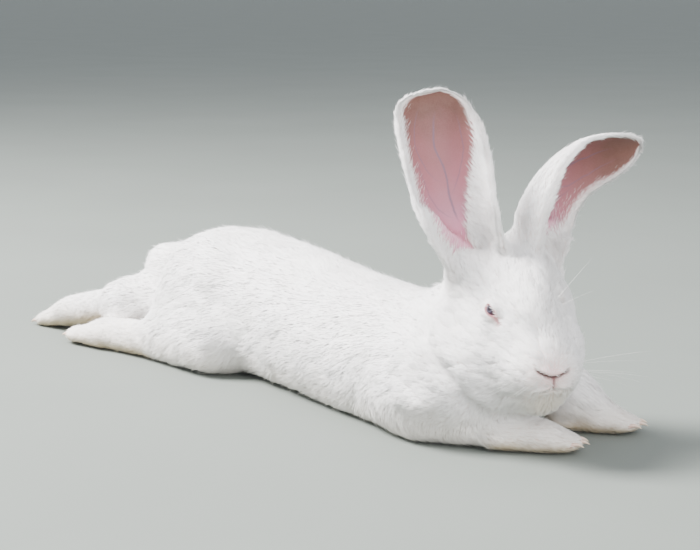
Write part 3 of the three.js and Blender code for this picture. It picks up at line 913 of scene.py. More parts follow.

# ---------------------------------------------------------------------------------------------
# The skin's finish. A white rabbit's skin is pale pink and shows only at the lids, in the nose
# and inside the ears, where the blood shines through thin cartilage and the veins branch. Shade is
# painted into the nostril folds, along the mouth, under the chin and in each ear's pit, toward its
# tip and beside its flap, whose top is painted lighter as light falls on it.

LID_PINK = (0.6, 1.1)              # how strong each colour is, and half its width in mm
LID_RED = (1, 0.8)
# The nostril folds and the mouth are painted dark, as shade down in their creases.
NOSTRIL_PAINTED_SHADE = (1, 2.0)
MOUTH_PAINTED_SHADE = (1, 1.3)
SPLIT_RED = (0.4, 1.1)
SPLIT_GLOW = (0.3, 3.2)
NOSE_PINK = (1, 13)
CHIN_CREAM_AND_SHADE = (1, 17)
CHIN_MIDDLE = (46, 0, -58)
TEAR_WIDTH = 2.5
TEAR_END_WIDTH = 2.6
TEARS = (0.25, 1)                  # how wet the left and the right eye are
FLAP_SHADE = 0.10                  # how far the painted shade beside the flap reaches, as a share across

ahead, left, up = face.T
aside = abs(left)
fold_front = step(42, 50, ahead)
nostril = ridge(NOSTRIL_PAINTED_SHADE, up - nostril_height(left))
nostril = nostril * step(NOSTRIL_HALF_WIDTH + 2, NOSTRIL_HALF_WIDTH - 2, aside)
split_foot = NOSTRIL_MEET[2] - LIP_SPLIT
split_line = ridge(SPLIT_RED, left) + ridge(SPLIT_GLOW, left)
split_line = split_line * step(split_foot - 1, split_foot + 2, up)
split_line = split_line * step(NOSTRIL_MEET[2] + 1, NOSTRIL_MEET[2] - 1, up)
mouth_line = ridge(MOUTH_PAINTED_SHADE, up - mouth_height(aside)) * step(17, 8, aside)
off_nose = np.linalg.norm((face - NOSTRIL_MEET) * (0.6, 1, 1) - (0, 0, 2), axis=1)
muzzle = ridge(NOSE_PINK, off_nose)
lid_rim = ridge(LID_PINK, np.minimum(*[
    off_slit(far, along, np.maximum(abs(across) - slit_edge(along), 0), 5, 12)
    for _, far, along, across in slits]))
lid_edge = np.maximum(*[
    ridge(LID_RED, off_slit(far, along, abs(across) - slit_edge(along) - 0.3, 5.5, 14))
    * (far < 14) for _, far, along, across in slits])
tear_line = np.maximum(*[wet * bell(off, TEAR_WIDTH) for wet, off in zip(TEARS, tear_lines)])
tear_end = np.maximum(*[wet * bell(np.linalg.norm(slit[0] - TEAR_CORNER, axis=1), TEAR_END_WIDTH)
                        for wet, slit in zip(TEARS, slits)])
is_foot = np.isin([part_of(flesh[k]) for k in owner], ("forepaw", "hindfoot"))
# The folded flap is painted lighter, as light falling on it, and painted shade runs along the hollow
# just inside its free edge.
beyond_fold = aside_share - np.interp(along_share, *np.array(FLAP_LINE[::-1]).T[::-1])
on_flap = in_hollow * step(0.5, 0.42, along_share)
flap = step(-0.02, 0.04, beyond_fold) * on_flap
fold_shade = bell(np.minimum(beyond_fold + 0.03, 0), FLAP_SHADE) * on_flap * (1 - flap)
foot_under = spread(is_foot * step(-0.1, -0.7, normal[:, 2]), edges, 12)
# Under the chin, skin and hair are laid cream: partly their own cream, partly painted shade under
# the muzzle.
chin = ridge(CHIN_CREAM_AND_SHADE, np.linalg.norm(face - CHIN_MIDDLE, axis=1))
# Within a few cm of the floor a little of the same cream is laid on, more the lower the skin lies.
low_side = step(0.05, 0.012, form[:, 2]) * 0.25
markings = {
    "pink": np.clip(lid_rim + tear_line * 0.9 + muzzle * 0.45 + bare, 0, 1),
    "cream": np.clip(foot_under * 0.8 + chin * 0.55 + low_side, 0, 1),
    "dark": np.clip(np.maximum(nostril, mouth_line * 0.4) * fold_front, 0, 1),
    "red": np.clip(np.maximum(split_line * fold_front, np.maximum(
        lid_edge, tear_line * 0.25 + tear_end * 0.5)), 0, 1),
    "bare": bare,
    "flap": flap,
    "fold_shade": fold_shade,
    "across": aside_share,
    "along": along_share,
}


def mark(mesh, name, values):
    """Stores one number for each point of a mesh."""
    marking = mesh.attributes.new(name, "FLOAT", "POINT")
    marking.data.foreach_set("value", np.asarray(values, np.float32))


for name, values in markings.items():
    mark(skin.data, name, values)


def hex_colour(code):
    """A linear colour from an sRGB hex value."""
    channels = [int(code[k:k + 2], 16) / 255 for k in (1, 3, 5)]
    return [*(c / 12.92 if c <= 0.04045 else ((c + 0.055) / 1.055) ** 2.4 for c in channels), 1]


def plug(tree, node, inputs):
    """Sets a node's inputs, or links them where a socket is given."""
    for key, value in inputs.items():
        if isinstance(value, bpy.types.NodeSocket):
            tree.links.new(value, node.inputs[key])
        else:
            node.inputs[key].default_value = value


def add_node(tree, kind, settings=None, inputs=None):
    """A node with its settings and its inputs."""
    node = tree.nodes.new(kind)
    for key, value in (settings or {}).items():
        setattr(node, key, value)
    plug(tree, node, inputs or {})
    return node


def new_material(name):
    """A material with its tree and its shader."""
    material = bpy.data.materials.new(name)
    material.use_nodes = True
    return material, material.node_tree, material.node_tree.nodes["Principled BSDF"]


def laid_over(tree, colour, layers):
    """A colour with others laid over it, each by its pattern's share times an amount."""
    for pattern, amount, over in layers:
        if amount < 1:
            weaker = add_node(tree, "ShaderNodeMath", {"operation": "MULTIPLY"},
                              {0: pattern, 1: amount})
            pattern = weaker.outputs[0]
        over = hex_colour(over) if isinstance(over, str) else over
        mix = add_node(tree, "ShaderNodeMix", {"data_type": "RGBA"},
                       {0: pattern, 6: colour, 7: over})
        colour = mix.outputs[2]
    return colour


def set_stops(node, stops):
    """Fills a ramp with its places and colours."""
    ramp = node.color_ramp
    while len(ramp.elements) < len(stops):
        ramp.elements.new(0.5)
    for element, (place, code) in zip(ramp.elements, stops):
        element.position = place
        element.color = hex_colour(code)


# Skin scatters light under its surface, which softens it and warms its shadows. It is dry in the
# ears, so only a faint sheen is left. The dark in the nostril folds and along the mouth is
# painted shade.
rabbit_skin, tree, shader = new_material("pale_rabbit_skin")
read = {name: add_node(tree, "ShaderNodeAttribute", {"attribute_name": name}).outputs["Fac"]
        for name in markings}
object_place = add_node(tree, "ShaderNodeTexCoord").outputs["Object"]
blotch, fine_grain = (
    add_node(tree, "ShaderNodeTexNoise", None,
             {"Vector": object_place, "Scale": scale, "Detail": detail}).outputs["Fac"]
    for scale, detail in ((60.0, 3.0), (900.0, 2.0)))

# Colours up the hollow: pink where the blood shines through, with painted shade as dark red-brown
# down in the pit at the root and dark brown toward the tip.
EAR_COLOURS_AND_PAINTED_SHADE = ((0.06, "#6E2F2A"), (0.13, "#C87A94"), (0.27, "#C97F9A"), (0.42, "#B07488"),
               (0.58, "#A2616D"), (0.75, "#8C5557"), (0.9, "#6A453C"), (1.0, "#7A564C"))
EAR_WANDER = 0.08                  # how far blotches push the colours up or down the ear
VEIN_WANDER = 0.06                 # and the veins to either side
VEIN_BLUE = "#6E566B"
VEIN_RED = "#9A4452"
VEINS = (                          # along and across the hollow, half a width, strength, colour
    (((0.87, 0.14), (0.76, 0.21), (0.62, 0.07), (0.47, 0.06), (0.36, 0.03)), 0.017, 0.8, VEIN_BLUE),
    (((0.55, -0.30), (0.4, -0.2), (0.3, -0.08), (0.2, 0.0), (0.08, 0.0)), 0.013, 0.5, VEIN_RED),
    (((0.90, 0.50), (0.77, 0.62), (0.66, 0.50), (0.58, 0.12)), 0.012, 0.5, VEIN_BLUE),
    (((0.86, -0.45), (0.72, -0.42), (0.62, -0.25), (0.52, 0.02)), 0.012, 0.5, VEIN_BLUE),
    (((0.70, 0.66), (0.56, 0.52), (0.44, 0.30), (0.38, 0.08)), 0.012, 0.45, VEIN_BLUE),
    (((0.80, 0.55), (0.785, 0.40), (0.77, 0.22)), 0.014, 0.6, VEIN_BLUE),
)
VEIN_EDGES = (2.2, 0.3)            # half widths at which a vein starts to show, and is in full
VEIN_ENDS = (0.03, 0.08)           # how far beyond its ends it starts, and inside is in full
AROUND = 1.2                       # the vein curves' range across the hollow, each way
wandering = add_node(tree, "ShaderNodeMath", {"operation": "MULTIPLY_ADD"},
                     {0: blotch, 1: 2 * EAR_WANDER, 2: -EAR_WANDER})
up_ear = add_node(tree, "ShaderNodeMath", {"operation": "ADD"},
                  {0: read["along"], 1: wandering.outputs[0]})
ear_ramp = add_node(tree, "ShaderNodeValToRGB", None, {"Fac": up_ear.outputs[0]})
set_stops(ear_ramp, EAR_COLOURS_AND_PAINTED_SHADE)


def vein_share(course, half_width, strength):
    """How strongly one vein shows: in full on its course, fading to its sides and ends."""
    curve = add_node(tree, "ShaderNodeFloatCurve", None, {"Value": read["along"]})
    points = curve.mapping.curves[0].points
    ordered = sorted(course)
    while len(points) < len(ordered):
        points.new(0.5, 0.5)
    for point, (along, across) in zip(points, ordered):
        point.location = (along, 0.5 + across / (2 * AROUND))
    curve.mapping.update()
    target = add_node(tree, "ShaderNodeMath", {"operation": "MULTIPLY_ADD"},
                      {0: curve.outputs[0], 1: 2 * AROUND, 2: -AROUND})
    wave = add_node(tree, "ShaderNodeMath", {"operation": "MULTIPLY_ADD"},
                    {0: blotch, 1: 2 * VEIN_WANDER, 2: -VEIN_WANDER})
    waved = add_node(tree, "ShaderNodeMath", {"operation": "ADD"},
                     {0: read["across"], 1: wave.outputs[0]})
    off = add_node(tree, "ShaderNodeMath", {"operation": "SUBTRACT"},
                   {0: waved.outputs[0], 1: target.outputs[0]})
    beside = add_node(tree, "ShaderNodeMath", {"operation": "ABSOLUTE"}, {0: off.outputs[0]})
    first, last = ordered[0][0], ordered[-1][0]
    before, inside = VEIN_ENDS
    shown = strength
    for value, low, high in (
            (beside.outputs[0], half_width * VEIN_EDGES[0], half_width * VEIN_EDGES[1]),
            (read["along"], first - before, first + inside),
            (read["along"], last + before, last - inside)):
        fade = add_node(tree, "ShaderNodeMapRange", {"interpolation_type": "SMOOTHSTEP"},
                        {"Value": value, "From Min": low, "From Max": high})
        weaker = add_node(tree, "ShaderNodeMath", {"operation": "MULTIPLY"},
                          {0: fade.outputs[0], 1: shown})
        shown = weaker.outputs[0]
    return shown


hollow_colour = laid_over(tree, ear_ramp.outputs["Color"], [
    *((vein_share(*vein), 1, code) for *vein, code in VEINS),
    # the flap's lighter pink is painted light, and the dark rose beside it is painted shade
    (read["flap"], 0.75, "#DCA3B8"), (read["fold_shade"], 0.6, "#8A4756"),
])
# The darkest layer is painted shade in the nostril folds and along the mouth.
colour = laid_over(tree, hex_colour("#F3EBE7"), (
    (read["pink"], 1, "#D18A8C"), (read["cream"], 1, "#D9C3A2"), (read["bare"], 1, hollow_colour),
    (read["red"], 1, "#7C4049"), (read["dark"], 1, "#4A2C26"), (fine_grain, 0.18, "#C79A94"),
))
grain = add_node(tree, "ShaderNodeBump", None,
                 {"Height": fine_grain, "Strength": 0.25, "Distance": 0.2 * MM})
plug(tree, shader, {
    "Base Color": colour, "Normal": grain.outputs[0], "Roughness": 0.55,
    "Specular IOR Level": 0.35, "Subsurface Weight": 0.2,
    "Subsurface Radius": (1.0, 0.45, 0.35), "Subsurface Scale": 1.5 * MM,
})
skin.data.materials.clear()
skin.data.materials.append(rabbit_skin)
skin.data.shade_smooth()
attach(skin, "root")
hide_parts(*FLESH, *EARS)

# ---------------------------------------------------------------------------------------------
# The coat. The real one is dense soft wool under longer guard hairs; here each tuft is a thin
# three-sided spindle that stands for a lock of hairs, rooted in the skin and laid along it.

ROOT_SINK = 0.5 * MM
FLOOR_CLEAR = 0.4 * MM             # no hair goes lower than this
PATCH = 0.0015                     # half the width of a tuft's patch on the layout
TURN_SPREAD = 0.15                 # how far tufts stray from the lie, in radians
FLYAWAY = 0.07                     # the share of thin hairs that stand out of the coat,
FLYAWAY_SIZE = (1.2, 1.7, 0.35)    # and how long, high and wide they are beside the others
TIP_SPREAD = (0.35, 0.65, 0.6)     # the lowest tips, how much higher they get, and by what power
LENGTH_SPREAD = 0.2
WIDTH_SPREAD = (0.7, 0.6)          # the thinnest tufts, and how much wider they get
SWIRLS = ((0.20, 0.035, 3), (0.13, 0.011, 5))  # waves in the lie, and in the height, and in how
SWELLS = ((0.12, 0.045, 7), (0.12, 0.014, 9))  # it catches light along and across the lie:
TILTS = ((0.3, 0.012, 11), (0.3, 0.014, 13))   # how strong, their size in metres, and a seed
SWELL_LIMITS = (0.7, 1.15)
MIDDLE_RUN = 0.45                  # share of a tuft's length at its widest place,
MIDDLE_RISE = 0.6                  # and how much of its height it has there
LOCK_PULL = 0.42                   # how far the tips of a lock's hairs are drawn to its middle,
MIDDLE_PULL = 0.35                 # and how much of that at their widest place
FULL_LOCK_SHADE = 0.6              # the roundness of a lock that is drawn together in full
LOCK_STRAY = 0.12                  # how far hairs at a lock's edge stray into the next one
LOCK_PARTS = (1.1, 0.35)           # height in the middle of a lock, and how much less between
BRIGHTNESS = (0.45, 0.55, 0.7)     # of the dullest tuft, what the others add, and by what power
TUFT_POINTS = 5                    # a tuft has its root, three points round its middle, its tip
TUFT_FACES = ((0, 2, 1), (0, 3, 2), (0, 1, 3), (1, 2, 4), (2, 3, 4), (3, 1, 4))
TUFT_LAYOUT = ((0, -1), (-1, 0), (1, 0), (0, 0.2), (0, 1))
# Tufts per square mm, their width in mm, the area in square mm of the locks that they draw
# together in, and how rounded these locks look. They are wide on the body and fine on the feet.
COAT = {
    "head": (1.2, 0.8, 42, 0.6), "neck": (0.6, 1.2, 120, 0.35), "trunk": (0.5, 1.3, 120, 0.35),
    "tail": (0.55, 1.3, 120, 0.35), "foreleg": (0.8, 1.0, 120, 0.35),
    "forepaw": (1.1, 0.85, 14, 0.35), "hindleg": (0.47, 1.25, 120, 0.35),
    "hindfoot": (0.9, 0.9, 14, 0.35), "ear": (0.85, 0.8, 42, 0.5),
}
skin_tree = BVHTree.FromPolygons(form.tolist(), triangles.tolist())
rim_way = ear_aside * (np.sign(aside_share) * step(0.5, 0.9, abs(aside_share)))[:, None]
rim_way = unit(rim_way + ear_ahead * step(0.9, 0.97, along_share)[:, None])
shade_normal = unit(spread(normal, edges, 10))
shade_normal = unit(shade_normal + (rim_way - shade_normal) * 0.8 * (ear_rim * is_ear)[:, None])
soft_normal = unit(shade_normal[triangles].mean(1))
corner_points = form[triangles]
double_area = np.linalg.norm(np.cross(corner_points[:, 1] - corner_points[:, 0],
                                      corner_points[:, 2] - corner_points[:, 0]), axis=1)
area_mm = double_area / 2 / MM ** 2

# White rabbit hair: clear hollow fibres that scatter nearly all light, so it is bright and soft
# with no hard shine. Each tuft is painted a little darker and warmer down at its root, as shade
# where light has to find its way, and the tufts differ at random in tone.
white_hair, tree, shader = new_material("white_rabbit_hair")
read = {name: add_node(tree, "ShaderNodeAttribute", {"attribute_name": name}).outputs["Fac"]
        for name in ("up_hair", "pink", "cream")}
object_place = add_node(tree, "ShaderNodeTexCoord").outputs["Object"]
patches = add_node(tree, "ShaderNodeTexNoise", None,
                   {"Vector": object_place, "Scale": 22.0, "Detail": 2.0}).outputs["Fac"]
colour = laid_over(tree, hex_colour("#E3DEDC"), (
    (read["up_hair"], 1, "#F7F5F5"), (patches, 0.22, "#F1E9DD"), (read["cream"], 1, "#D9C7A8"),
    (read["pink"], 0.55, "#F0C9C4"),
))
plug(tree, shader, {
    "Base Color": colour, "Roughness": 0.65, "Specular IOR Level": 0.25,
    "Sheen Weight": 0.3, "Sheen Roughness": 0.4,
})


def sown(share):
    """Random roots: the triangle of each and its place in that triangle."""
    wanted = share + chance.random(len(share))
    number = np.repeat(np.arange(len(share)), wanted.astype(int))
    a, b = chance.random((2, len(number)))
    flip = a + b > 1
    a, b = np.where(flip, 1 - a, a), np.where(flip, 1 - b, b)
    return number, np.stack([1 - a - b, a, b], 1)


def carried(places, way, distance):
    """Points moved a distance along the skin, and the skin's normal there."""
    found = [skin_tree.find_nearest(place) for place in places + way * distance[:, None]]
    return np.array([hit[0] for hit in found]), soft_normal[[hit[2] for hit in found]]


def waves(places, strength, size, seed):
    """Soft uneven values over space, up to about a strength either way."""
    dice = np.random.default_rng(seed)
    slopes = dice.normal(size=(6, 3)) / size * 2.2
    swing = np.sin(places @ slopes.T + dice.random(6) * 2 * math.pi).mean(1) * 1.8
    return strength * swing


def lock_middles(lock_area):
    """The middles of locks sown over the whole skin, so that they run on from piece to piece."""
    number, weights = sown(area_mm / lock_area)
    middles = np.einsum("nkc,nk->nc", form[triangles[number]], weights)
    return point_tree(middles), middles


def coat(name, share, part):
    """Grows a piece of coat on a share of each triangle, as the coat of a part is."""
    density, width, lock_area, lock_shade = COAT[part]
    number, weights = sown(area_mm * (share * density))

    def at_roots(values):
        return np.einsum("nk...,nk->n...", values[triangles[number]], weights)

    root, facing, way = at_roots(form), unit(at_roots(normal)), unit(at_roots(lie))
    long, deep = at_roots(length) * MM, at_roots(depth) * MM
    count = len(root)
    swirl = waves(root, *SWIRLS[0]) + waves(root, *SWIRLS[1])
    swirl = (swirl + TURN_SPREAD * chance.normal(size=count))[:, None]
    way = unit(way * np.cos(swirl) + np.cross(facing, way) * np.sin(swirl))
    flyaway = chance.random(count) < FLYAWAY
    longer, higher, thinner = (np.where(flyaway, times, 1) for times in FLYAWAY_SIZE)
    shade = unit(at_roots(shade_normal))
    long = long * (1 + LENGTH_SPREAD * chance.normal(size=count).clip(-2, 2)) * longer
    swell = 1 + waves(root, *SWELLS[0]) + waves(root, *SWELLS[1])
    low, more, power = TIP_SPREAD
    high = deep * (low + more * chance.random(count) ** power) * swell.clip(*SWELL_LIMITS)
    high = high * higher
    gap = math.sqrt(lock_area) * MM
    tree, middles = locks[lock_area]
    strayed = root + chance.normal(size=root.shape) * gap * LOCK_STRAY
    from_lock = (root - middles[[tree.find(place)[1] for place in strayed]]) / gap
    from_lock = from_lock - way * (0.6 * (from_lock * way).sum(1))[:, None]
    locked = step(0.1, 0.6, np.linalg.norm(from_lock, axis=1))
    high = high * (LOCK_PARTS[0] - LOCK_PARTS[1] * locked)
    wide = width * MM * (WIDTH_SPREAD[0] + WIDTH_SPREAD[1] * chance.random(count)) * thinner
    wide = wide * (0.45 + 0.55 * np.minimum(long / MM / 8, 1)) * (1 - 0.75 * at_roots(bare))
    tilt = waves(root, *TILTS[0])[:, None] * way
    tilt = tilt + waves(root, *TILTS[1])[:, None] * np.cross(facing, way)
    shade = unit(shade + tilt + from_lock * lock_shade)
    middle, middle_facing = carried(root, way, long * MIDDLE_RUN)
    onward = unit(middle - root + way * long[:, None] * 0.05)
    tip, tip_facing = carried(middle, onward, long * 0.5)
    pull = LOCK_PULL * lock_shade / FULL_LOCK_SHADE * ~flyaway * np.minimum(long / (6 * MM), 1)
    tip = tip - from_lock * gap * pull[:, None]
    middle = middle - from_lock * gap * pull[:, None] * MIDDLE_PULL
    middle = middle + middle_facing * (high * MIDDLE_RISE)[:, None]
    tip = tip + tip_facing * high[:, None]
    ahead = unit(tip - middle)
    aside = unit(np.cross(middle_facing, ahead))
    points, normals = [root - facing * ROOT_SINK], [shade]
    for to_side, to_top in ((-1, -0.1), (1, -0.1), (0, 0.4)):
        out = aside * to_side + middle_facing * to_top
        points.append(middle + out * (wide / 2)[:, None])
        normals.append(unit(middle_facing + shade + 0.4 * out))
    points.append(tip)
    normals.append(unit(tip_facing + shade))
    points = np.stack(points, 1).reshape(-1, 3)
    normals = unit(np.stack(normals, 1).reshape(-1, 3))
    points[:, 2] = np.maximum(points[:, 2], FLOOR_CLEAR)
    faces = np.array(TUFT_FACES)
    all_faces = (faces[None] + np.arange(count)[:, None, None] * TUFT_POINTS).reshape(-1, 3)
    piece = mesh_object(name, points, all_faces)
    mesh = piece.data
    layout = np.einsum("nkc,nk->nc", corner_map[number], weights)
    patch = np.array(TUFT_LAYOUT) * PATCH
    places = (layout[:, None] + patch[None])[:, faces.ravel()].reshape(-1, 2)
    mesh.uv_layers.new(name=BAKE_MAP).data.foreach_set("uv", places.astype(np.float32).ravel())
    low, more, power = BRIGHTNESS
    bright = low + more * chance.random(count) ** power
    # Painted shade: dark at the root, lighter at the middle, brightest at the tip, each tuft in its
    # own tone.
    mark(mesh, "up_hair", np.stack([0 * bright, *[0.75 * bright] * 3, bright], 1).ravel())
    # The hair takes the skin's pink, and its cream with the painted shade under the chin.
    for tint in ("pink", "cream"):
        mark(mesh, tint, np.repeat(at_roots(markings[tint] * (1 - 0.85 * bare)), TUFT_POINTS))
    mesh.shade_smooth()
    corners = points[all_faces]
    face_way = unit(np.cross(corners[:, 1] - corners[:, 0], corners[:, 2] - corners[:, 0]))
    corner_normals = normals[all_faces]
    below = (corner_normals * face_way[:, None]).sum(2, keepdims=True) < -0.1
    corner_normals = np.where(below, face_way[:, None], corner_normals).reshape(-1, 3)
    mesh.normals_split_custom_set(corner_normals.astype(np.float32))
    mesh.materials.append(white_hair)
    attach(piece, "root")


locks = {area: lock_middles(area) for area in dict.fromkeys(row[2] for row in COAT.values())}
part_of_face = owner[triangles].min(1)
ear_of_face = is_ear[triangles].mean(1) > 0.5
middle_of_face = corner_points.mean(1)
lid_of_face = lid_far[triangles].min(1)
fold_of_face = np.maximum(markings["dark"], markings["red"])[triangles].max(1)
tear_of_face = np.maximum(tear_line, tear_end)[triangles].mean(1)
underneath = step(-0.4, -0.8, normal[triangles].mean(1)[:, 2])
grows = step(0.3, 1.3, lid_of_face) * step(0.5, 0.2, fold_of_face)
grows = grows * step(0.75, 0.4, tear_of_face) * (1 - 0.55 * underneath)


def where(*parts):
    """How fully hair grows on the skin's triangles of some parts, ears apart."""
    wanted = [k for k, name in enumerate(flesh) if name in parts]
    return np.isin(part_of_face, wanted) * ~ear_of_face * grows


trunk_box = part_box("trunk")
trunk_along = (middle_of_face[:, 0] - trunk_box[0].x) / (trunk_box[1].x - trunk_box[0].x)
left_face = to_face(middle_of_face)[:, 1] > 0
for side, on_side in (("left", left_face), ("right", ~left_face)):
    coat("coat_head_" + side, where("head", "eye_left", "eye_right") * on_side, "head")
coat("coat_neck", where("neck"), "neck")
for label, start, end in (("back", -1, 0.4), ("middle", 0.4, 0.7), ("front", 0.7, 2)):
    chosen = (trunk_along > start) & (trunk_along <= end)
    coat("coat_trunk_" + label, where("trunk") * chosen, "trunk")
coat("coat_tail", where("tail"), "tail")
for limb, foot in (("foreleg", "forepaw"), ("hindleg", "hindfoot")):
    for side in ("left", "right"):
        for part in (limb, foot):
            name = f"{part}_{side}"
            coat("coat_" + name, where(name), part)

# In the ears the hair thins out over the bare part, and crowds along the rims.
bare_of_face, rim_of_face, veil_of_face = (
    values[triangles].mean(1) for values in (bare, ear_rim, veil))
hollow_thin = (1 - bare_of_face) ** 2 * (1 + 1.2 * bare_of_face)
hollow_thin = hollow_thin + 0.4 * bare_of_face * veil_of_face ** 1.5
for number, name in enumerate(EARS):
    chosen = ear_of_face & (which_ear[triangles[:, 0]] == number)
    coat("coat_" + name, chosen * hollow_thin * (1 + 1.5 * rim_of_face), "ear")

# ---------------------------------------------------------------------------------------------
# The eyes. Each is a wet ball with a clear dome over a grey-lavender iris, because a white
# rabbit has no colour there but its blood, and a dark red pupil half under the upper lid.

DOME_REACH = 0.72                  # how far the clear dome spreads round the gaze, in radians
DOME_TOP = 0.55                    # the share of that where it reaches its full height
DOME_RISE = 0.55 * MM
GAZE_UP = 0.1                      # how far the gaze turns from the middle of the slit
GAZE_ALONG = -0.12
BALL_RINGS = 40
BALL_SIDES = 48

# A living eye is clear wet tissue over a fibrous iris, smooth all over, so it has one small
# soft shine and a ragged edge between the colours.
wet_eye, tree, shader = new_material("wet_rabbit_eye")
EYE_COLOURS = ((0.0, "#10040A"), (0.15, "#180810"), (0.19, "#2A242B"), (0.29, "#4E4A55"),
               (0.4, "#332A33"), (0.5, "#46303A"), (1.0, "#5E3A43"))
RAGGED = 0.03                      # how far the fibres push the colours' edges, in radians
off_gaze = add_node(tree, "ShaderNodeAttribute", {"attribute_name": "off_gaze"}).outputs["Fac"]
object_place = add_node(tree, "ShaderNodeTexCoord").outputs["Object"]
fibres = add_node(tree, "ShaderNodeTexNoise", None,
                  {"Vector": object_place, "Scale": 1400.0, "Detail": 3.0}).outputs["Fac"]
push = add_node(tree, "ShaderNodeMath", {"operation": "MULTIPLY_ADD"},
                {0: fibres, 1: 2 * RAGGED, 2: -RAGGED})
ragged = add_node(tree, "ShaderNodeMath", {"operation": "ADD"}, {0: off_gaze, 1: push.outputs[0]})
eye_ramp = add_node(tree, "ShaderNodeValToRGB", None, {"Fac": ragged.outputs[0]})
set_stops(eye_ramp, EYE_COLOURS)
plug(tree, shader, {
    "Base Color": eye_ramp.outputs["Color"], "Roughness": 0.3, "Specular IOR Level": 0.15,
    "Coat Weight": 0.06, "Coat Roughness": 0.15,
})


def ring_faces(rows, sides):
    """Triangles of a closed form of rings, whose two poles are its last two points."""
    number = np.arange(rows * sides).reshape(rows, sides)
    after = np.roll(number, -1, 1)
    start, end = (np.full(sides, rows * sides + k) for k in (0, 1))
    return np.concatenate([
        np.stack([number[:-1], number[1:], after[1:]], -1).reshape(-1, 3),
        np.stack([number[:-1], after[1:], after[:-1]], -1).reshape(-1, 3),
        np.stack([start, number[0], after[0]], -1),
        np.stack([end, after[-1], number[-1]], -1)])


def eyeball(name, side):
    """A ball in rings round its gaze, raised to a clear dome in front."""
    gaze = slit_facing + slit_up * GAZE_UP + slit_along * GAZE_ALONG
    gaze = unit(gaze @ eye_axes(side) @ face_axes)
    across = unit(np.cross(gaze, (0, 0, 1)))
    up = np.cross(across, gaze)
    polar = np.linspace(0, math.pi, BALL_RINGS + 1)[1:-1]
    turn = np.linspace(0, 2 * math.pi, BALL_SIDES, endpoint=False)
    dome = DOME_RISE * step(DOME_REACH, DOME_REACH * DOME_TOP, polar)
    far = (eye_radius * MM + dome)[:, None, None]
    ring = across * np.cos(turn)[:, None] + up * np.sin(turn)[:, None]
    ways = gaze * np.cos(polar)[:, None, None] + ring[None] * np.sin(polar)[:, None, None]
    centre = from_face(eye_place[side])
    poles = [centre + gaze * (eye_radius * MM + DOME_RISE), centre - gaze * eye_radius * MM]
    points = np.concatenate([(centre + ways * far).reshape(-1, 3), poles])
    piece = mesh_object("eyeball_" + name[4:], points, ring_faces(len(polar), BALL_SIDES))
    mark(piece.data, "off_gaze", np.concatenate([np.repeat(polar, BALL_SIDES), [0, math.pi]]))
    piece.data.shade_smooth()
    piece.data.materials.append(wet_eye)
    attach(piece, "root")
    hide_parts(name)


eyeball("eye_left", 1)
eyeball("eye_right", -1)

# ---------------------------------------------------------------------------------------------
# The claws. Each is a sheath of pale horn, narrow, bent down toward its point and pink at the
# quick, half hidden in the hair of its toe.

CLAW_RINGS = 12
CLAW_SIDES = 14
CLAW_BEND = 0.16                   # how far the middle rises over the straight line, by length
CLAW_THICKNESS = 0.95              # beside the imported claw's, and its width beside its height
CLAW_NARROWNESS = 0.78
CLAW_TAPER = (1.6, 0.75)
CLAW_POINT = 0.05 * MM
CLAW_CLEAR = 0.1 * MM              # the point ends this far on, and nothing lies lower than this
CLAW_ENDS = 0.6                    # what lies beyond this share of a half length is its end

# Horn is layered keratin, pale and a little glossy, with growth ridges and the pink quick
# showing through at its root.
claw_horn, tree, shader = new_material("pale_claw_horn")
up_claw = add_node(tree, "ShaderNodeAttribute", {"attribute_name": "up_claw"}).outputs["Fac"]
object_place = add_node(tree, "ShaderNodeTexCoord").outputs["Object"]
growth = add_node(tree, "ShaderNodeTexNoise", None,
                  {"Vector": object_place, "Scale": 700.0, "Detail": 3.0}).outputs["Fac"]
colour = laid_over(tree, hex_colour("#D9AFA4"), (
    (up_claw, 1, "#D8CBB5"), (growth, 0.35, "#A98E74"),
))
ridges = add_node(tree, "ShaderNodeBump", None,
                  {"Height": growth, "Strength": 0.3, "Distance": 0.15 * MM})
plug(tree, shader, {
    "Base Color": colour, "Normal": ridges.outputs[0], "Roughness": 0.35, "Coat Weight": 0.2,
    "Coat Roughness": 0.2,
})


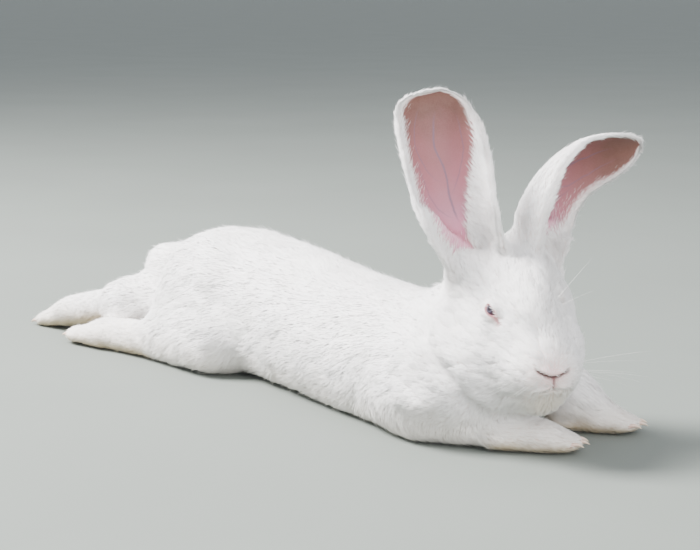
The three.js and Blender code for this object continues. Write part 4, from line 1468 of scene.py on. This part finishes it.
def claw(name):
    """A bent tapered claw from the root of a packed claw to its tip."""
    place = points_of(frame["nodes"][name].data)
    middle = place.mean(0)
    axis = np.linalg.svd(place - middle)[2][0]
    run = (place - middle) @ axis
    girth = [np.linalg.norm(place[end] - place[end].mean(0), axis=1).mean()
             for end in (run > run.max() * CLAW_ENDS, run < run.min() * CLAW_ENDS)]
    if girth[0] > girth[1]:
        axis, run = -axis, -run
    root, tip = middle + axis * run.min(), middle + axis * run.max()
    thick = np.linalg.norm(place - middle - np.outer((place - middle) @ axis, axis), axis=1).max()
    share = np.linspace(0, 1, CLAW_RINGS)
    length = np.linalg.norm(tip - root)
    aside = unit(np.cross(axis, (0, 0, 1)))
    up = np.cross(aside, axis)
    rise = CLAW_BEND * length * 4 * share * (1 - share)
    centre = root + np.outer(share, tip - root) + np.outer(rise, up)
    taper = (1 - share ** CLAW_TAPER[0]) ** CLAW_TAPER[1]
    radius = thick * CLAW_THICKNESS * taper + CLAW_POINT
    turn = np.linspace(0, 2 * math.pi, CLAW_SIDES, endpoint=False)
    ring = aside * np.cos(turn)[:, None] * CLAW_NARROWNESS + up * np.sin(turn)[:, None]
    points = (centre[:, None] + ring[None] * radius[:, None, None]).reshape(-1, 3)
    points = np.concatenate([points, [root, tip + axis * CLAW_CLEAR]])
    points[:, 2] = np.maximum(points[:, 2], CLAW_CLEAR)
    faces = ring_faces(CLAW_RINGS, CLAW_SIDES)
    volume = np.einsum("ij,ij->i", points[faces[:, 0]] - middle, np.cross(
        points[faces[:, 1]] - middle, points[faces[:, 2]] - middle)).sum()
    piece = mesh_object("horn_" + name, points, faces if volume > 0 else faces[:, ::-1])
    mark(piece.data, "up_claw", np.concatenate([np.repeat(share, CLAW_SIDES), [0, 1]]))
    piece.data.shade_smooth()
    piece.data.materials.append(claw_horn)
    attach(piece, "root")
    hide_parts(name)


for name in frame["nodes"]:
    if name.startswith("claw_"):
        claw(name)

# ---------------------------------------------------------------------------------------------
# The whiskers. Long stiff hairs stand out of the pads beside the nose and over the eyes, each
# tapering to nothing and drooping a little under its own weight.

WHISKER_THICKNESS = 0.22 * MM
WHISKER_STEPS = 12
WHISKER_TAPER = 0.7
WHISKER_STRAY = 0.05
WHISKERS = (                       # root, way and length in mm, on the left of the face
    ((52, 13, -29), (0.35, 1.0, 0.10), 62), ((50, 15, -33), (0.30, 1.0, -0.10), 66),
    ((47, 17, -29), (0.10, 1.0, 0.16), 70), ((46, 18, -35), (0.15, 1.0, -0.22), 60),
    ((43, 19, -32), (-0.05, 1.0, 0.0), 68), ((41, 20, -38), (0.0, 1.0, -0.30), 48),
    ((54, 11, -34), (0.55, 1.0, -0.05), 45), ((49, 14, -38), (0.40, 1.0, -0.35), 42),
    ((22, 27, 18), (0.05, 0.62, 0.80), 60), ((26, 26, 16), (0.35, 0.75, 0.60), 42),
)
DROOP = 0.14                       # how far a whisker's tip sinks, and trails back, by length
TRAIL = 0.10

# A whisker is one thick hair of clear keratin, white along its length with greyer streaks and
# a dull shine.
whisker_hair, tree, shader = new_material("white_whisker")
object_place = add_node(tree, "ShaderNodeTexCoord").outputs["Object"]
streaks = add_node(tree, "ShaderNodeTexNoise", None,
                   {"Vector": object_place, "Scale": 200.0}).outputs["Fac"]
colour = laid_over(tree, hex_colour("#F6F4F0"), ((streaks, 1, "#DCD6CC"),))
plug(tree, shader, {"Base Color": colour, "Roughness": 0.4})


def whiskers(name, side):
    """All the whiskers of one side in one mesh."""
    points, faces = [], []
    for root, way, long in WHISKERS:
        way = unit(np.array(way, float) + chance.normal(size=3) * WHISKER_STRAY)
        found = skin_tree.find_nearest(from_face(np.array(root) * (1, side, 1)))[0]
        root = to_face(np.array(found))
        share = np.linspace(0, 1, WHISKER_STEPS)
        centre = root + np.outer(share * long, way * (1, side, 1))
        centre[:, 2] -= DROOP * long * share ** 2
        centre[:, 0] -= TRAIL * long * share ** 2
        centre = from_face(centre)
        run = unit(np.gradient(centre, axis=0))
        first = unit(np.cross(run, (0.3, 0.1, 0.9)))
        second = np.cross(run, first)
        radius = (WHISKER_THICKNESS / 2 * (1 - share) ** WHISKER_TAPER)[:, None]
        start = sum(len(p) for p in points)
        ring = [centre[:-1] + (first * math.cos(a) + second * math.sin(a))[:-1] * radius[:-1]
                for a in (0, 2 * math.pi / 3, 4 * math.pi / 3)]
        points.append(np.concatenate([np.stack(ring, 1).reshape(-1, 3), centre[-1:]]))
        for k in range(WHISKER_STEPS - 2):
            for a, b in ((0, 1), (1, 2), (2, 0)):
                low, high = start + 3 * k, start + 3 * k + 3
                faces += [(low + a, low + b, high + b), (low + a, high + b, high + a)]
        high = start + 3 * (WHISKER_STEPS - 2)
        faces += [(high + a, high + b, high + 3) for a, b in ((0, 1), (1, 2), (2, 0))]
        faces.append((start, start + 2, start + 1))
    piece = mesh_object(name, np.concatenate(points), np.array(faces))
    bm = bmesh.new()
    bm.from_mesh(piece.data)
    bmesh.ops.recalc_face_normals(bm, faces=bm.faces)
    bm.to_mesh(piece.data)
    bm.free()
    piece.data.shade_smooth()
    piece.data.materials.append(whisker_hair)
    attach(piece, "root")


whiskers("whiskers_left", 1)
whiskers("whiskers_right", -1)

# ---------------------------------------------------------------------------------------------
# The stage: a pale floor, soft lamps and the camera.

FLOOR_SIZE = 200
floor_corners = np.array([(-1, -1, 0), (1, -1, 0), (1, 1, 0), (-1, 1, 0)]) * FLOOR_SIZE / 2
floor = mesh_object("floor", floor_corners, np.array([(0, 1, 2, 3)]))
# Backdrop paper is uncoated and matt, a pale grey with a faint mottle.
paper, tree, shader = new_material("matt_backdrop_paper")
object_place = add_node(tree, "ShaderNodeTexCoord").outputs["Object"]
mottle = add_node(tree, "ShaderNodeTexNoise", None,
                  {"Vector": object_place, "Scale": 3.0, "Detail": 4.0}).outputs["Fac"]
colour = laid_over(tree, hex_colour("#6C716B"), ((mottle, 1, "#747973"),))
plug(tree, shader, {"Base Color": colour, "Roughness": 0.9})
floor.data.materials.append(paper)

sky = bpy.data.worlds.new("soft_daylight")
bpy.context.scene.world = sky
sky.use_nodes = True
plug(sky.node_tree, sky.node_tree.nodes["Background"],
     {"Color": hex_colour("#E2E8F0"), "Strength": 1.3})

LAMPS = {                          # place, size and power
    "window": ((-1.1, -1.6, 2.4), 1.3, 520),
    "fill": ((2.2, -0.4, 1.2), 1.8, 60),
}
LAMP_TARGET = Vector((0, 0, 0.1))
for name, (place, size, power) in LAMPS.items():
    lamp = bpy.data.lights.new(name, "AREA")
    lamp.energy = power
    lamp.size = size
    holder = bpy.data.objects.new(name, lamp)
    holder.location = place
    toward = LAMP_TARGET - holder.location
    holder.rotation_euler = toward.to_track_quat("-Z", "Y").to_euler()
    bpy.context.scene.collection.objects.link(holder)

CAMERA_FROM_EYES = (1.0510, -0.8641, 0.2671)
CAMERA_DIP = math.radians(10)
CAMERA_TURN = math.radians(57)
SENSOR = 36
FOCAL_LENGTH = 84.86
lens = bpy.data.cameras.new("camera")
lens.sensor_width = SENSOR
lens.lens = FOCAL_LENGTH
camera = bpy.data.objects.new("camera", lens)
camera.location = Vector(between_eyes) + Vector(CAMERA_FROM_EYES)
camera.rotation_euler = (math.pi / 2 - CAMERA_DIP, 0, CAMERA_TURN)
bpy.context.scene.collection.objects.link(camera)
bpy.context.scene.camera = camera
